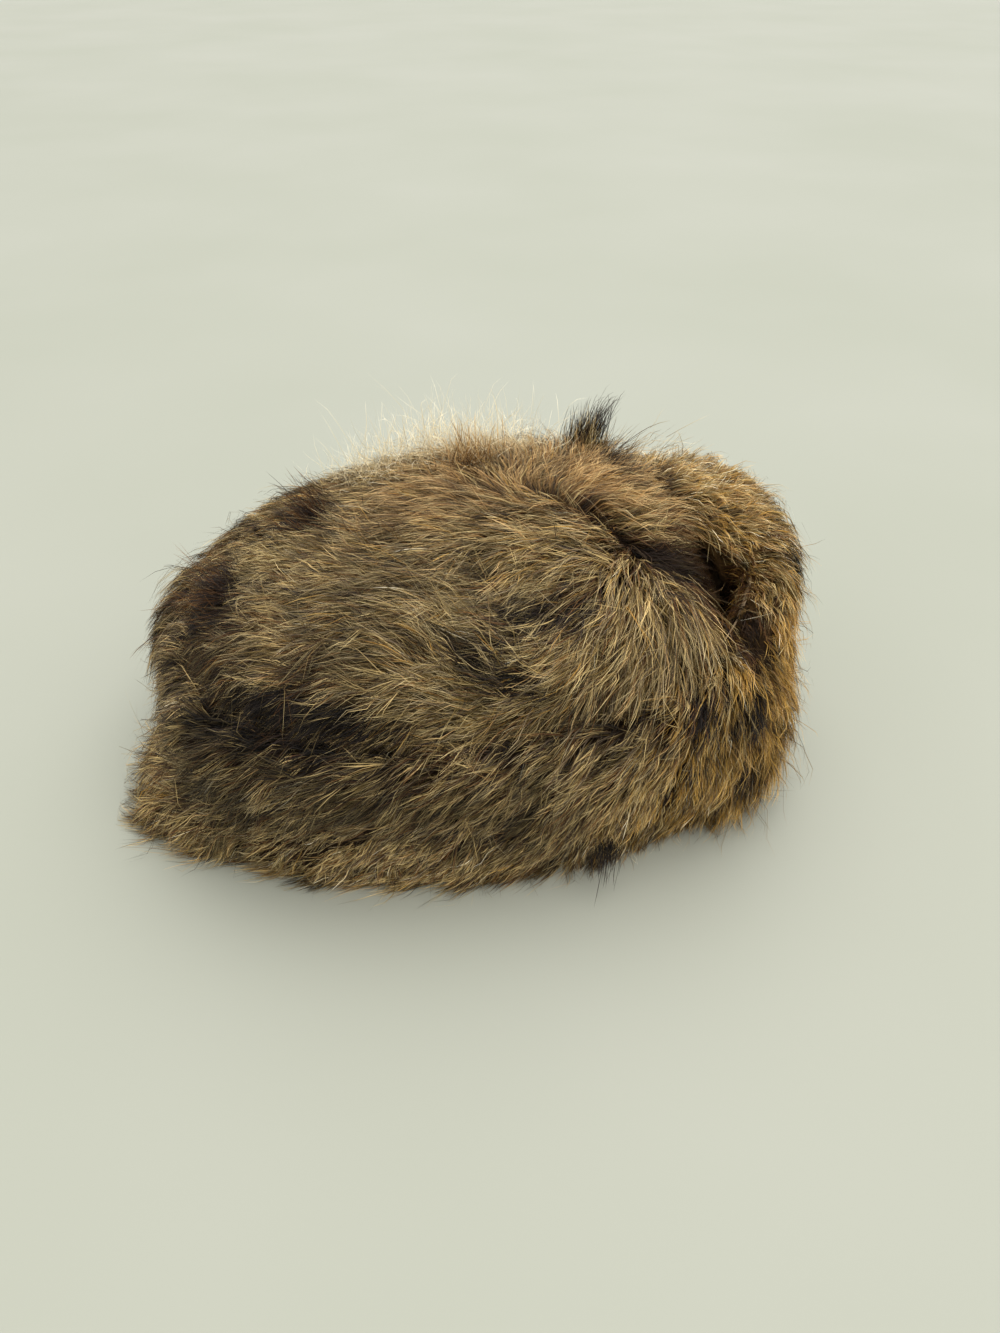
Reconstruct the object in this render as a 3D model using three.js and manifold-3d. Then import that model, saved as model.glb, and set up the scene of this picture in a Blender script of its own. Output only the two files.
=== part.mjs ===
// A soft hat of long brown fur: a rounded fur crown set in a deep fur cuff that is turned up all round.
// Millimetres, +Z up, +X to the hat's front. It stands on the lower edge of its cuff, and the origin is
// on the ground under the middle of the whole hat.

import * as THREE from 'three';
import { mergeVertices } from 'three/addons/utils/BufferGeometryUtils.js';
import Module from 'manifold-3d';

const wasm = await Module();
wasm.setup();

// The hide's thickness, the clearance between pieces, the facets round the hat, and how far a joined coat
// may be smoothed
const HIDE_WALL = 2.5;
const CLEARANCE = 0.3;
const AROUND = 48;
const SMOOTHING = 0.15;

// How square the hat's plan is: 2 is an oval, more is a rounded rectangle
const SQUARENESS = 2.5;

// The crown's hide, from its rim to its top: the height of each section, how far its middle is ahead of
// the head's, how far it reaches behind, in front and to each side of that, and how deep the fur's
// backing lies on it there
const CROWN = [
  { height: 0, ahead: 0, behind: 99, front: 93, side: 80.5, fur: 0 },
  { height: 58, ahead: 0, behind: 99, front: 93, side: 80.5, fur: 3 },
  { height: 71, ahead: 2, behind: 96, front: 85, side: 77.5, fur: 10.5 },
  { height: 83, ahead: 8, behind: 79, front: 72, side: 68, fur: 10 },
  { height: 94, ahead: 15, behind: 54, front: 51, side: 48, fur: 9.5 },
  { height: 99.5, ahead: 18, behind: 28, front: 27, side: 25, fur: 9 },
  { height: 101, ahead: 18, behind: 0, front: 0, side: 0, fur: 9 },
];
// The row where the upright side of the crown ends and its fur and its rounded top begin
const SHOULDER = 1;

// The crown's fur is thinner down in the crevice: to what share, beside a cuff how tall, and below what
// height on the crown
const CREVICE = { share: 0.55, cuffFrom: 55, cuffTo: 80, crownFrom: 75, crownTo: 95 };

// The turned-up cuff, from the front round to the back: the height of its top, how far the top leans out
// and how deep the fur's backing lies on its outside
const CUFF = [
  { azimuth: 0, top: 87, lean: 13, fur: 12 },
  { azimuth: 20, top: 83, lean: 11, fur: 12 },
  { azimuth: 42, top: 70, lean: 6, fur: 13 },
  { azimuth: 65, top: 60, lean: 2, fur: 10 },
  { azimuth: 100, top: 56, lean: 0, fur: 8 },
  { azimuth: 140, top: 56, lean: 0, fur: 15 },
  { azimuth: 180, top: 56, lean: 0, fur: 17 },
];

// The cuff's folded band: how far it stands off the crown, its thickness, how far below its top the
// rounding starts, and the reach and height of its foot's outer edge
const BAND = { off: 1, thick: 8, round: 4, foot: 10, heel: 3 };
// Where the rounding ends on the band's top, as shares of its thickness
const BAND_CREST = { inside: 0.3, outside: 0.7 };

// The outside of the backing of the cuff's fur, from its crest down to below the ground: how far it lies
// beyond the band, as a share of the fur's depth and in millimetres, and its height, as a share of the
// cuff's top and in millimetres
const BACKING_CREST = 2.5;
const BACKING_BOTTOM = -2;
const BACKING = [
  { share: 0.5, beyond: 0, tall: 1, above: 3.5 },
  { share: 1, beyond: 0, tall: 1, above: -5 },
  { share: 1, beyond: 1, tall: 0.5, above: 0 },
  { share: 1.15, beyond: 1, tall: 0, above: 9 },
  { share: 0.6, beyond: 1, tall: 0, above: BACKING_BOTTOM },
];

// The space that the cuff and its fur keep: how far out its crease beside the crown is, how its upper
// side rises outwards from there, how far out its inside is below the crease and how high that reaches,
// and how far it goes below the ground
const CREASE = 0.6;
const CUFF_SLOPE = [{ out: 14, rise: 7 }, { out: 50, rise: 18 }];
const UNDER_CREASE = { out: 4, height: 40, bottom: -10 };

// The locks of each coat: how many there are, their length, width, height of the crest, how far the tip
// stands up at its end, how far the middle sinks, and by how much tips differ
const CROWN_LOCKS = { count: 104, length: 35, width: 15, crest: 4.5, tip: 3.5, sink: 3, spread: 2.5 };
const CUFF_LOCKS = { columns: 32, length: 33, width: 16, crest: 4.5, tip: 3, sink: 3, spread: 2 };
// The rows of the cuff's locks, as a share of the height from the ground to the cuff's top, how much of
// a column each one may be off its place, and how far the lower rows lie out
const CUFF_LOCK_ROWS = [0.3, 0.62, 0.93];
const CUFF_LOCK_STRAY = 0.4;
const CUFF_LOCK_OUT = { beyond: 2.3, low: 1.12, high: 0.12 };
// The least length of a lock and how much is added to it, as shares of the length in the tables
const LOCK_LENGTH = { least: 0.85, more: 0.3 };
// The sections of a lock, as shares of its length, width and crest
const LOCK_SECTIONS = [
  { along: 0.1, wide: 0.75, high: 0.7 },
  { along: 0.6, wide: 1, high: 1 },
];
// How far a lock starts behind its root, and how deep its spine and its edges lie
const LOCK_SET = { behind: 5, spine: 0.5, edge: 1 };

// The crown's hair runs outwards and down from a whorl near the front, on the side that is seen. Its
// locks start this far above the shoulder and crowd towards the rim by this power.
const WHORL = new THREE.Vector3(58, -12, 109);
const CROWN_FALL = 10;
const CROWN_SPREAD = { above: 0.9, power: 0.62 };
// On the cuff the hair runs back and down, and a little outwards
const CUFF_FLOW = { fall: 0.5, out: 0.05, back: 1.5 };
// Single locks that stand proud of the crown, by their place on its hide and how far they stand up
const PROUD_LOCKS = [
  { angle: 0.62, place: 3.4, length: 27, rise: 17 },
  { angle: 0.55, place: 3.9, length: 26, rise: 9 },
];
const PROUD_FLOW = new THREE.Vector3(-0.2, 1, 0);
const PROUD_WIDTH = 10;

const UP = new THREE.Vector3(0, 0, 1);

// A repeatable stream of numbers from 0 to 1
function dice(seed) {
  let state = seed;
  return () => {
    state = (state * 16807) % 2147483647;
    return state / 2147483647;
  };
}

// One column of a table at a place between its rows, along a smooth curve through them
function between(rows, column, place) {
  const last = rows.length - 1;
  const k = Math.min(Math.floor(place), last - 1);
  const t = place - k;
  const [a, b, c, d] = [k - 1, k, k + 1, k + 2].map((i) => rows[Math.min(Math.max(i, 0), last)][column]);
  return b + 0.5 * t * (c - a + t * (2 * a - 5 * b + 4 * c - d + t * (3 * (b - c) + d - a)));
}

// A column of the cuff's table at an angle round the hat, the same on both sides
function cuffAt(angle, column) {
  const azimuth = Math.abs(THREE.MathUtils.radToDeg(Math.atan2(Math.sin(angle), Math.cos(angle))));
  let k = 0;
  while (k < CUFF.length - 2 && CUFF[k + 1].azimuth < azimuth) k += 1;
  const share = (azimuth - CUFF[k].azimuth) / (CUFF[k + 1].azimuth - CUFF[k].azimuth);
  return between(CUFF, column, k + share);
}

// How far a rounded rectangle reaches from its middle at an angle
function planRadius(angle, behind, front, side) {
  const along = Math.abs(Math.cos(angle)) / (Math.cos(angle) > 0 ? front : behind);
  const across = Math.abs(Math.sin(angle)) / side;
  return (along ** SQUARENESS + across ** SQUARENESS) ** (-1 / SQUARENESS);
}

function polar(angle, radius, height) {
  return new THREE.Vector3(radius * Math.cos(angle), radius * Math.sin(angle), height);
}

// A point on the crown's hide, at a place along its table
function crownHide(angle, place) {
  const [behind, front, side] = ['behind', 'front', 'side'].map((c) => Math.max(between(CROWN, c, place), 0.01));
  const point = polar(angle, planRadius(angle, behind, front, side), between(CROWN, 'height', place));
  point.x += between(CROWN, 'ahead', place);
  return point;
}

function crownNormal(angle, place) {
  const step = 0.01;
  if (place > CROWN.length - 1 - 2 * step) return UP.clone();
  const round = crownHide(angle + step, place).sub(crownHide(angle - step, place));
  const upward = crownHide(angle, place + step).sub(crownHide(angle, Math.max(place - step, 0)));
  return round.cross(upward).normalize();
}

// How deep the crown's fur lies on its hide
function crownFur(angle, place) {
  const tall = THREE.MathUtils.smoothstep(cuffAt(angle, 'top'), CREVICE.cuffFrom, CREVICE.cuffTo);
  const low = 1 - THREE.MathUtils.smoothstep(crownHide(angle, place).z, CREVICE.crownFrom, CREVICE.crownTo);
  return between(CROWN, 'fur', place) * (1 - (1 - CREVICE.share) * tall * low);
}

// A closed skin over rings of points: a ring of one point is a pole, and a looped skin joins its ends.
// Each four-sided face is split along its shorter diagonal, so skins that lie on each other match.
function skin(rings, looped = false) {
  const points = rings.flat();
  const starts = [];
  let count = 0;
  for (const ring of rings) {
    starts.push(count);
    count += ring.length;
  }
  const faces = [];
  const joins = looped ? rings.length : rings.length - 1;
  for (let r = 0; r < joins; r += 1) {
    const next = (r + 1) % rings.length;
    const around = Math.max(rings[r].length, rings[next].length);
    for (let i = 0; i < around; i += 1) {
      const j = (i + 1) % around;
      const [a, b] = [i, j].map((n) => starts[r] + (rings[r].length > 1 ? n : 0));
      const [c, d] = [i, j].map((n) => starts[next] + (rings[next].length > 1 ? n : 0));
      if (a === b) {
        faces.push([a, d, c]);
      } else if (c === d) {
        faces.push([a, b, d]);
      } else if (points[a].distanceTo(points[d]) < points[b].distanceTo(points[c])) {
        faces.push([a, b, d], [a, d, c]);
      } else {
        faces.push([a, b, c], [b, d, c]);
      }
    }
  }
  let volume = 0;
  for (const [a, b, c] of faces) volume += points[a].dot(new THREE.Vector3().crossVectors(points[b], points[c]));
  if (volume < 0) faces.forEach((face) => face.reverse());
  const geometry = new THREE.BufferGeometry().setFromPoints(points);
  geometry.setIndex(faces.flat());
  return geometry;
}

// Solids for joining and cutting, and back
function solid(geometry) {
  const bare = geometry.clone();
  bare.deleteAttribute('normal');
  bare.deleteAttribute('uv');
  const merged = mergeVertices(bare);
  const vertProperties = new Float32Array(merged.attributes.position.array);
  const triVerts = new Uint32Array(merged.index.array);
  return new wasm.Manifold(new wasm.Mesh({ numProp: 3, vertProperties, triVerts }));
}

function shape(manifold) {
  const mesh = manifold.getMesh();
  const geometry = new THREE.BufferGeometry();
  geometry.setAttribute('position', new THREE.BufferAttribute(mesh.vertProperties, mesh.numProp));
  geometry.setIndex(new THREE.BufferAttribute(mesh.triVerts, 1));
  return geometry;
}

const ANGLES = Array.from({ length: AROUND }, (_, i) => (i / AROUND) * 2 * Math.PI);

// A ring of the crown, lifted off its hide by a distance that may change round the hat
function crownRing(row, lift) {
  const at = (angle) => crownHide(angle, row).addScaledVector(crownNormal(angle, row), lift(angle));
  return row === CROWN.length - 1 ? [at(0)] : ANGLES.map(at);
}

// The rounded top of the crown between two lifts, open below
function crownDome(outerLift, innerLift) {
  const rows = CROWN.map((_, row) => row).slice(SHOULDER);
  const outer = rows.map((row) => crownRing(row, (angle) => outerLift(angle, row)));
  const inner = rows.map((row) => crownRing(row, (angle) => innerLift(angle, row)));
  return skin([...outer.reverse(), ...inner]);
}

// The upright side of the crown, from the rim to just under the rounded top
function crownSide() {
  const upper = CROWN[SHOULDER].height - 2 * CLEARANCE;
  const ring = (lift, height) => crownRing(0, () => lift).map((point) => point.setZ(height));
  return skin([ring(0, 0), ring(0, upper), ring(-HIDE_WALL, upper), ring(-HIDE_WALL, 0)], true);
}

// A point of the cuff's section at an angle: how far outside the crown's rim, and its height. The lean
// grows with the height.
function cuffPoint(angle, out, height) {
  const rim = crownHide(angle, 0).setZ(0).length();
  const lean = cuffAt(angle, 'lean') * (height / cuffAt(angle, 'top'));
  return polar(angle, rim + out + lean, height);
}

// A ring swept round the hat from a closed section, which gives [out, height] pairs at each angle
function cuffRing(section) {
  const sections = ANGLES.map((angle) => section(angle).map(([out, height]) => cuffPoint(angle, out, height)));
  return skin(sections[0].map((_, k) => sections.map((points) => points[k])), true);
}

// The folded band of hide, flat underneath and rounded along its top
function cuffBandSection(angle) {
  const top = cuffAt(angle, 'top');
  const inner = BAND.off + CLEARANCE;
  return [
    [CLEARANCE + BAND.foot, 0],
    [CLEARANCE + BAND.foot, BAND.heel],
    [inner + BAND.thick, top - BAND.round],
    [inner + BAND.thick * BAND_CREST.outside, top],
    [inner + BAND.thick * BAND_CREST.inside, top],
    [inner, top - BAND.round],
    [CLEARANCE, 0],
  ];
}

// The backing of the cuff's fur, outside the band and over its top. The ground trims it underneath.
function cuffBackingSection(angle) {
  const top = cuffAt(angle, 'top');
  const fur = cuffAt(angle, 'fur');
  const inner = BAND.off + CLEARANCE;
  const outer = inner + BAND.thick + CLEARANCE;
  const foot = BAND.foot + 2 * CLEARANCE;
  return [
    [foot, BACKING_BOTTOM],
    [foot, BAND.heel],
    [outer, top - BAND.round],
    [inner + BAND.thick * BAND_CREST.outside, top + CLEARANCE],
    [inner + BAND.thick * BAND_CREST.inside, top + CLEARANCE],
    [inner + BAND.thick / 2, top + BACKING_CREST],
    ...BACKING.map(({ share, beyond, tall, above }) => [outer + beyond + fur * share, top * tall + above]),
  ];
}

// The space that the cuff and its fur keep. The crease or crevice beside the crown is along its upper edge.
function cuffSpace(margin) {
  return cuffRing((angle) => {
    const top = cuffAt(angle, 'top');
    const outermost = CUFF_SLOPE[CUFF_SLOPE.length - 1].out;
    return [
      [CREASE - margin, UNDER_CREASE.height],
      [CREASE - margin, top + margin],
      ...CUFF_SLOPE.map(({ out, rise }) => [out, top + rise + margin]),
      [outermost, UNDER_CREASE.bottom],
      [UNDER_CREASE.out, UNDER_CREASE.bottom],
      [UNDER_CREASE.out, UNDER_CREASE.height],
    ];
  });
}

// A lock of fur: a tapered strip with a crest, lying along its flow, sunk at its root and free at its tip
function lock(root, normal, flow, size) {
  const along = flow.clone().addScaledVector(normal, -flow.dot(normal)).normalize();
  const across = new THREE.Vector3().crossVectors(normal, along);
  const spine = (share) => {
    const drop = size.tip - size.sink * (1 - share);
    const middle = root.clone().addScaledVector(along, size.length * share);
    return middle.addScaledVector(normal, drop * share - LOCK_SET.spine);
  };
  const rings = LOCK_SECTIONS.map(({ along: share, wide, high }) => {
    const middle = spine(share);
    const half = (size.width * wide) / 2;
    return [
      middle.clone().addScaledVector(across, -half).addScaledVector(normal, -LOCK_SET.edge),
      middle.clone().addScaledVector(normal, size.crest * high),
      middle.clone().addScaledVector(across, half).addScaledVector(normal, -LOCK_SET.edge),
    ];
  });
  const start = root.clone().addScaledVector(along, -LOCK_SET.behind).addScaledVector(normal, -size.sink);
  return solid(skin([[start], ...rings, [spine(1)]]));
}

// The size of one lock out of a coat's table, with its length and its tip rolled
function rolled(sizes, roll) {
  const length = sizes.length * (LOCK_LENGTH.least + LOCK_LENGTH.more * roll());
  return { ...sizes, length, tip: sizes.tip - sizes.spread * roll() };
}

// The crown's locks, spread evenly over its dome like the seeds of a sunflower
function crownLocks() {
  const roll = dice(23);
  const goldenAngle = Math.PI * (3 - Math.sqrt(5));
  const locks = [];
  const [lowest, highest] = [SHOULDER + CROWN_SPREAD.above, CROWN.length - 1];
  const rootOf = (angle, place, normal) => crownHide(angle, place).addScaledVector(normal, crownFur(angle, place));
  for (let i = 0; i < CROWN_LOCKS.count; i += 1) {
    const angle = i * goldenAngle;
    const place = highest - (highest - lowest) * ((i + 0.5) / CROWN_LOCKS.count) ** CROWN_SPREAD.power;
    const normal = crownNormal(angle, place);
    const root = rootOf(angle, place, normal);
    const flow = root.clone().sub(WHORL).addScaledVector(UP, -CROWN_FALL);
    locks.push(lock(root, normal, flow, rolled(CROWN_LOCKS, roll)));
  }
  for (const { angle, place, length, rise } of PROUD_LOCKS) {
    const normal = crownNormal(angle, place);
    const size = { ...CROWN_LOCKS, length, width: PROUD_WIDTH, tip: rise };
    locks.push(lock(rootOf(angle, place, normal), normal, PROUD_FLOW, size));
  }
  return locks;
}

// The cuff's locks, in staggered rows that run back and down
function cuffLocks() {
  const roll = dice(8);
  const step = 0.02;
  const locks = [];
  CUFF_LOCK_ROWS.forEach((share, row) => {
    for (let column = 0; column < CUFF_LOCKS.columns; column += 1) {
      const place = column + 0.5 * (row % 2) + CUFF_LOCK_STRAY * roll();
      const angle = (place / CUFF_LOCKS.columns) * 2 * Math.PI;
      const height = share * cuffAt(angle, 'top');
      const furOut = cuffAt(angle, 'fur') * (CUFF_LOCK_OUT.low - CUFF_LOCK_OUT.high * share);
      const out = BAND.thick + CUFF_LOCK_OUT.beyond + furOut;
      const at = (a) => cuffPoint(a, out, height);
      const round = at(angle + step).sub(at(angle - step)).normalize();
      const normal = round.clone().cross(cuffPoint(angle, out, height + 1).sub(at(angle))).normalize();
      const sideways = Math.min(1, CUFF_FLOW.back * Math.abs(Math.sin(angle)));
      const flow = round.clone().multiplyScalar(-Math.sign(round.x || 1) * sideways);
      flow.addScaledVector(UP, -CUFF_FLOW.fall).addScaledVector(normal, CUFF_FLOW.out);
      const root = at(angle).addScaledVector(normal, -LOCK_SET.spine);
      locks.push(lock(root, normal, flow, rolled(CUFF_LOCKS, roll)));
    }
  });
  return locks;
}

// The ground cuts off what of the fur would reach below it
const GROUND = { width: 400, depth: 40 };
const ground = new THREE.BoxGeometry(GROUND.width, GROUND.width, GROUND.depth).translate(0, 0, -GROUND.depth / 2);

// A coat with the small pockets filled that its locks close between them, and without its slivers
function filled(coat) {
  const [largest] = coat.decompose().sort((a, b) => b.volume() - a.volume());
  const { vertProperties, triVerts } = largest.getMesh();
  const mesh = new wasm.Mesh({ numProp: 3, vertProperties, triVerts, tolerance: SMOOTHING });
  return new wasm.Manifold(mesh).simplify(SMOOTHING);
}

const hideLook = { color: '#b59a78', roughness: 0.8, metalness: 0 };
const furLook = { color: '#6f583a', roughness: 0.9, metalness: 0 };

function piece(name, geometry, look) {
  const mesh = new THREE.Mesh(geometry, new THREE.MeshStandardMaterial(look));
  mesh.name = name;
  return mesh;
}

const hat = new THREE.Group();

hat.add(piece('crown_side_pelt', crownSide(), hideLook));
hat.add(piece('crown_top_pelt', crownDome(() => 0, () => -HIDE_WALL), hideLook));
hat.add(piece('cuff_pelt', cuffRing(cuffBandSection), hideLook));

const crownBacking = solid(crownDome(crownFur, () => CLEARANCE));
const crownCoat = wasm.Manifold.union([crownBacking, ...crownLocks()]).subtract(solid(cuffSpace(CLEARANCE)));
hat.add(piece('crown_fur', shape(filled(crownCoat)), furLook));

const cuffBacking = solid(cuffRing(cuffBackingSection));
const cuffCoat = wasm.Manifold.union([cuffBacking, ...cuffLocks()]).intersect(solid(cuffSpace(0))).subtract(solid(ground));
hat.add(piece('cuff_fur', shape(filled(cuffCoat)), furLook));

const reach = new THREE.Box3().setFromObject(hat);
const middle = reach.getCenter(new THREE.Vector3());
hat.position.set(-middle.x, -middle.y, -reach.min.z);

export default hat;
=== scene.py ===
"""A soft hat of long banded fur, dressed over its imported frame.

Every length in the classes is in millimetres, and a mesh is written in metres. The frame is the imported
part's: +X is the hat's front, +Z is up, and the hat stands on the ground at z = 0. The hair is modelled
as real strands: each coat has guide hairs that follow its skin, and every guide carries a tuft of hair.
"""

import logging
import math
from dataclasses import dataclass, field, replace
from enum import Enum, IntEnum
from typing import Callable, Protocol

import bmesh
import bpy
import numpy as np
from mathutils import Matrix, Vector

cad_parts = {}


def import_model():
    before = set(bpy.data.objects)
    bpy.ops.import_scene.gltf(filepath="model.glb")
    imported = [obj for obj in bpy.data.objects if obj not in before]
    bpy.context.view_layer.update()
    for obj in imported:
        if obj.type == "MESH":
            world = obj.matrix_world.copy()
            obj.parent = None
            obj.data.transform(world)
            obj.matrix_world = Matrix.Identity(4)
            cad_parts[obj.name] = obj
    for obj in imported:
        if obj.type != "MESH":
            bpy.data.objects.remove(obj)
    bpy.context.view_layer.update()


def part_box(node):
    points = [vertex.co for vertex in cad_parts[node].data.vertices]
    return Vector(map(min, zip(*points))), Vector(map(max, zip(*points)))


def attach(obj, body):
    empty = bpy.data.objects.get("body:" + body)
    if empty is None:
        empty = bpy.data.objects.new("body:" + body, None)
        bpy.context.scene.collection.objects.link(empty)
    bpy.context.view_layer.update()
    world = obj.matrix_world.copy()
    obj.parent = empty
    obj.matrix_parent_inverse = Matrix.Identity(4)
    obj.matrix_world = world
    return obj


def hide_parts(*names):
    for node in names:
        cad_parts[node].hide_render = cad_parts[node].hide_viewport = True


Array = np.ndarray
Random = np.random.Generator
Triple = tuple[float, float, float]
METRE = 0.001
MERGED = 1e-5
LOG = logging.getLogger("fur_hat")


@dataclass(frozen=True)
class CrownRow:
    """One section of the crown's hide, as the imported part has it."""

    height: float
    ahead: float
    behind: float
    front: float
    side: float
    fur: float


@dataclass(frozen=True)
class CuffRow:
    """One section of the turned-up cuff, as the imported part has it."""

    azimuth: float
    top: float
    lean: float
    fur: float


CROWN_ROWS = (
    CrownRow(0, 0, 99, 93, 80.5, 0),
    CrownRow(58, 0, 99, 93, 80.5, 3),
    CrownRow(71, 2, 96, 85, 77.5, 10.5),
    CrownRow(83, 8, 79, 72, 68, 10),
    CrownRow(94, 15, 54, 51, 48, 9.5),
    CrownRow(99.5, 18, 28, 27, 25, 9),
    CrownRow(101, 18, 0, 0, 0, 9),
)
CUFF_ROWS = (
    CuffRow(0, 87, 13, 12),
    CuffRow(20, 83, 11, 12),
    CuffRow(42, 70, 6, 13),
    CuffRow(65, 60, 2, 10),
    CuffRow(100, 56, 0, 8),
    CuffRow(140, 56, 0, 15),
    CuffRow(180, 56, 0, 17),
)
UP = np.array([0.0, 0.0, 1.0])


def column(rows: tuple, name: str) -> Array:
    """Returns one column of a table as numbers.

    Args:
        rows: The table's rows.
        name: The name of the column.

    Returns:
        The column's values, one to a row.
    """
    return np.array([getattr(row, name) for row in rows], float)


def between(values: Array, place: Array) -> Array:
    """Reads a column between its rows, along a smooth curve through them.

    Args:
        values: The column's values, or a row of them for each place.
        place: Where to read it, counted in rows.

    Returns:
        One value for each place.
    """
    last = values.shape[-1] - 1
    k = np.clip(np.floor(place).astype(int), 0, last - 1)
    t = place - k

    def knot(step: int) -> Array:
        """Returns the value at the row this many steps on."""
        row = np.clip(k + step, 0, last)
        return values[row] if values.ndim == 1 else np.take_along_axis(values, row[:, None], 1)[:, 0]

    a, b, c, d = (knot(step) for step in (-1, 0, 1, 2))
    return b + 0.5 * t * (c - a + t * (2 * a - 5 * b + 4 * c - d + t * (3 * (b - c) + d - a)))


def smooth(value: Array, low: float, high: float) -> Array:
    """Returns 0 below low and 1 above high, with a smooth rise between them."""
    t = np.clip((value - low) / (high - low), 0, 1)
    return t * t * (3 - 2 * t)


def unit(vectors: Array) -> Array:
    """Returns the vectors, each made one long."""
    return vectors / np.maximum(np.linalg.norm(vectors, axis=-1, keepdims=True), 1e-9)


def dot(a: Array, b: Array) -> Array:
    """Returns the dot product of each pair of vectors, with an axis kept for it."""
    return (a * b).sum(-1, keepdims=True)


def turned(vectors: Array, axis: Array, angle: Array) -> Array:
    """Turns vectors that lie across an axis about it.

    Args:
        vectors: The vectors, at right angles to their axes.
        axis: The unit axes.
        angle: How far each is turned, in radians.

    Returns:
        The turned vectors.
    """
    return vectors * np.cos(angle)[:, None] + np.cross(axis, vectors) * np.sin(angle)[:, None]


@dataclass(frozen=True)
class Ripple:
    """A smooth random field in space, from -1 to 1, made of plane waves."""

    seed: int
    wavelength: float
    waves: int = 20

    def __call__(self, points: Array) -> Array:
        """Reads the field.

        Args:
            points: Places in millimetres.

        Returns:
            One value for each place.
        """
        rng = np.random.default_rng(self.seed)
        ways = unit(rng.normal(size=(self.waves, 3)))
        pitch = 2 * math.pi / (self.wavelength * rng.uniform(0.7, 1.6, self.waves))
        phase = rng.uniform(0, 2 * math.pi, self.waves)
        total = np.cos(points @ (ways * pitch[:, None]).T + phase).sum(-1)
        return np.tanh(total / math.sqrt(self.waves / 2))


@dataclass(frozen=True)
class HatForm:
    """The hide's shape, which all the pieces are set on."""

    middle: Array
    squareness: float = 2.5
    pole: int = len(CROWN_ROWS) - 1
    least: float = 0.01
    flat_top: float = 0.2

    def plan_radius(self, angle: Array, behind: Array, front: Array, side: Array) -> Array:
        """Measures a rounded rectangle from its middle.

        Args:
            angle: The direction, in radians from the front.
            behind: How far it reaches behind.
            front: How far it reaches in front.
            side: How far it reaches to each side.

        Returns:
            Its reach in each direction.
        """
        along = np.abs(np.cos(angle)) / np.where(np.cos(angle) > 0, front, behind)
        across = np.abs(np.sin(angle)) / side
        return (along**self.squareness + across**self.squareness) ** (-1 / self.squareness)

    def crown_hide(self, angle: Array, place: Array) -> Array:
        """Finds points on the crown's hide.

        Args:
            angle: The direction round the hat, in radians from the front.
            place: The place up the crown's table, from the rim to the top.

        Returns:
            The points.
        """
        sizes = (column(CROWN_ROWS, name) for name in ("behind", "front", "side"))
        radius = self.plan_radius(angle, *(np.maximum(between(size, place), self.least) for size in sizes))
        ahead = between(column(CROWN_ROWS, "ahead"), place)
        height = between(column(CROWN_ROWS, "height"), place)
        x = self.middle[0] + ahead + radius * np.cos(angle)
        return np.stack([x, self.middle[1] + radius * np.sin(angle), height], -1)

    def crown_normal(self, angle: Array, place: Array) -> Array:
        """Finds which way the crown's hide faces.

        Args:
            angle: The direction round the hat, in radians from the front.
            place: The place up the crown's table.

        Returns:
            The unit normals.
        """
        step = 0.01
        inner = np.minimum(place, self.pole - 2 * step)
        around = self.crown_hide(angle + step, inner) - self.crown_hide(angle - step, inner)
        upward = self.crown_hide(angle, inner + step) - self.crown_hide(angle, np.maximum(inner - step, 0))
        normal = unit(np.cross(around, upward))
        at_top = smooth(place, self.pole - self.flat_top, self.pole - 2 * step)[:, None]
        return unit(normal * (1 - at_top) + UP * at_top)

    def cuff_at(self, angle: Array, name: str) -> Array:
        """Reads a column of the cuff's table round the hat, the same on both sides.

        Args:
            angle: The direction round the hat, in radians from the front.
            name: The name of the column.

        Returns:
            One value for each angle.
        """
        azimuth = np.degrees(np.abs(np.arctan2(np.sin(angle), np.cos(angle))))
        stops = column(CUFF_ROWS, "azimuth")
        k = np.clip(np.searchsorted(stops, azimuth) - 1, 0, len(stops) - 2)
        share = (azimuth - stops[k]) / (stops[k + 1] - stops[k])
        return between(column(CUFF_ROWS, name), k + share)

    def cuff_point(self, angle: Array, out: Array, height: Array) -> Array:
        """Finds points of the cuff's section.

        Args:
            angle: The direction round the hat, in radians from the front.
            out: How far outside the crown's rim, before the cuff's lean.
            height: The height over the ground.

        Returns:
            The points.
        """
        sizes = (column(CROWN_ROWS, name)[0] for name in ("behind", "front", "side"))
        lean = self.cuff_at(angle, "lean") * height / self.cuff_at(angle, "top")
        radius = self.plan_radius(angle, *sizes) + out + lean
        x = self.middle[0] + radius * np.cos(angle)
        return np.stack([x, self.middle[1] + radius * np.sin(angle), height + 0 * radius], -1)


@dataclass(frozen=True)
class Spot:
    """A soft round region in space."""

    centre: Triple
    radius: float

    def felt(self, points: Array) -> Array:
        """Returns how strongly the spot is felt at these points, from 0 to 1."""
        away = ((points - np.array(self.centre)) ** 2).sum(-1)
        return np.exp(-away / (2 * self.radius**2))


@dataclass(frozen=True)
class Swell(Spot):
    """A place where the coat is fuller than elsewhere, or thinner."""

    depth: float


@dataclass(frozen=True)
class Comb(Spot):
    """A place where the hair is combed one way."""

    way: Triple


@dataclass(frozen=True)
class PaintedLightAndTone(Spot):
    """A place where the hair is painted lighter or darker: painted light and shade in most places, the
    hair's own tone in some.
    """

    light: float


def summed(spots: tuple[Spot, ...], name: str, points: Array) -> Array:
    """Adds up what spots give at points.

    Args:
        spots: The spots.
        name: The name of what each gives.
        points: The points.

    Returns:
        One sum for each point.
    """
    return sum((getattr(spot, name) * spot.felt(points) for spot in spots), np.zeros(len(points)))


@dataclass(frozen=True)
class Footing:
    """Places on a skin, with the ways its two coordinates run there."""

    point: Array
    normal: Array
    along_a: Array
    along_b: Array


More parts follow.
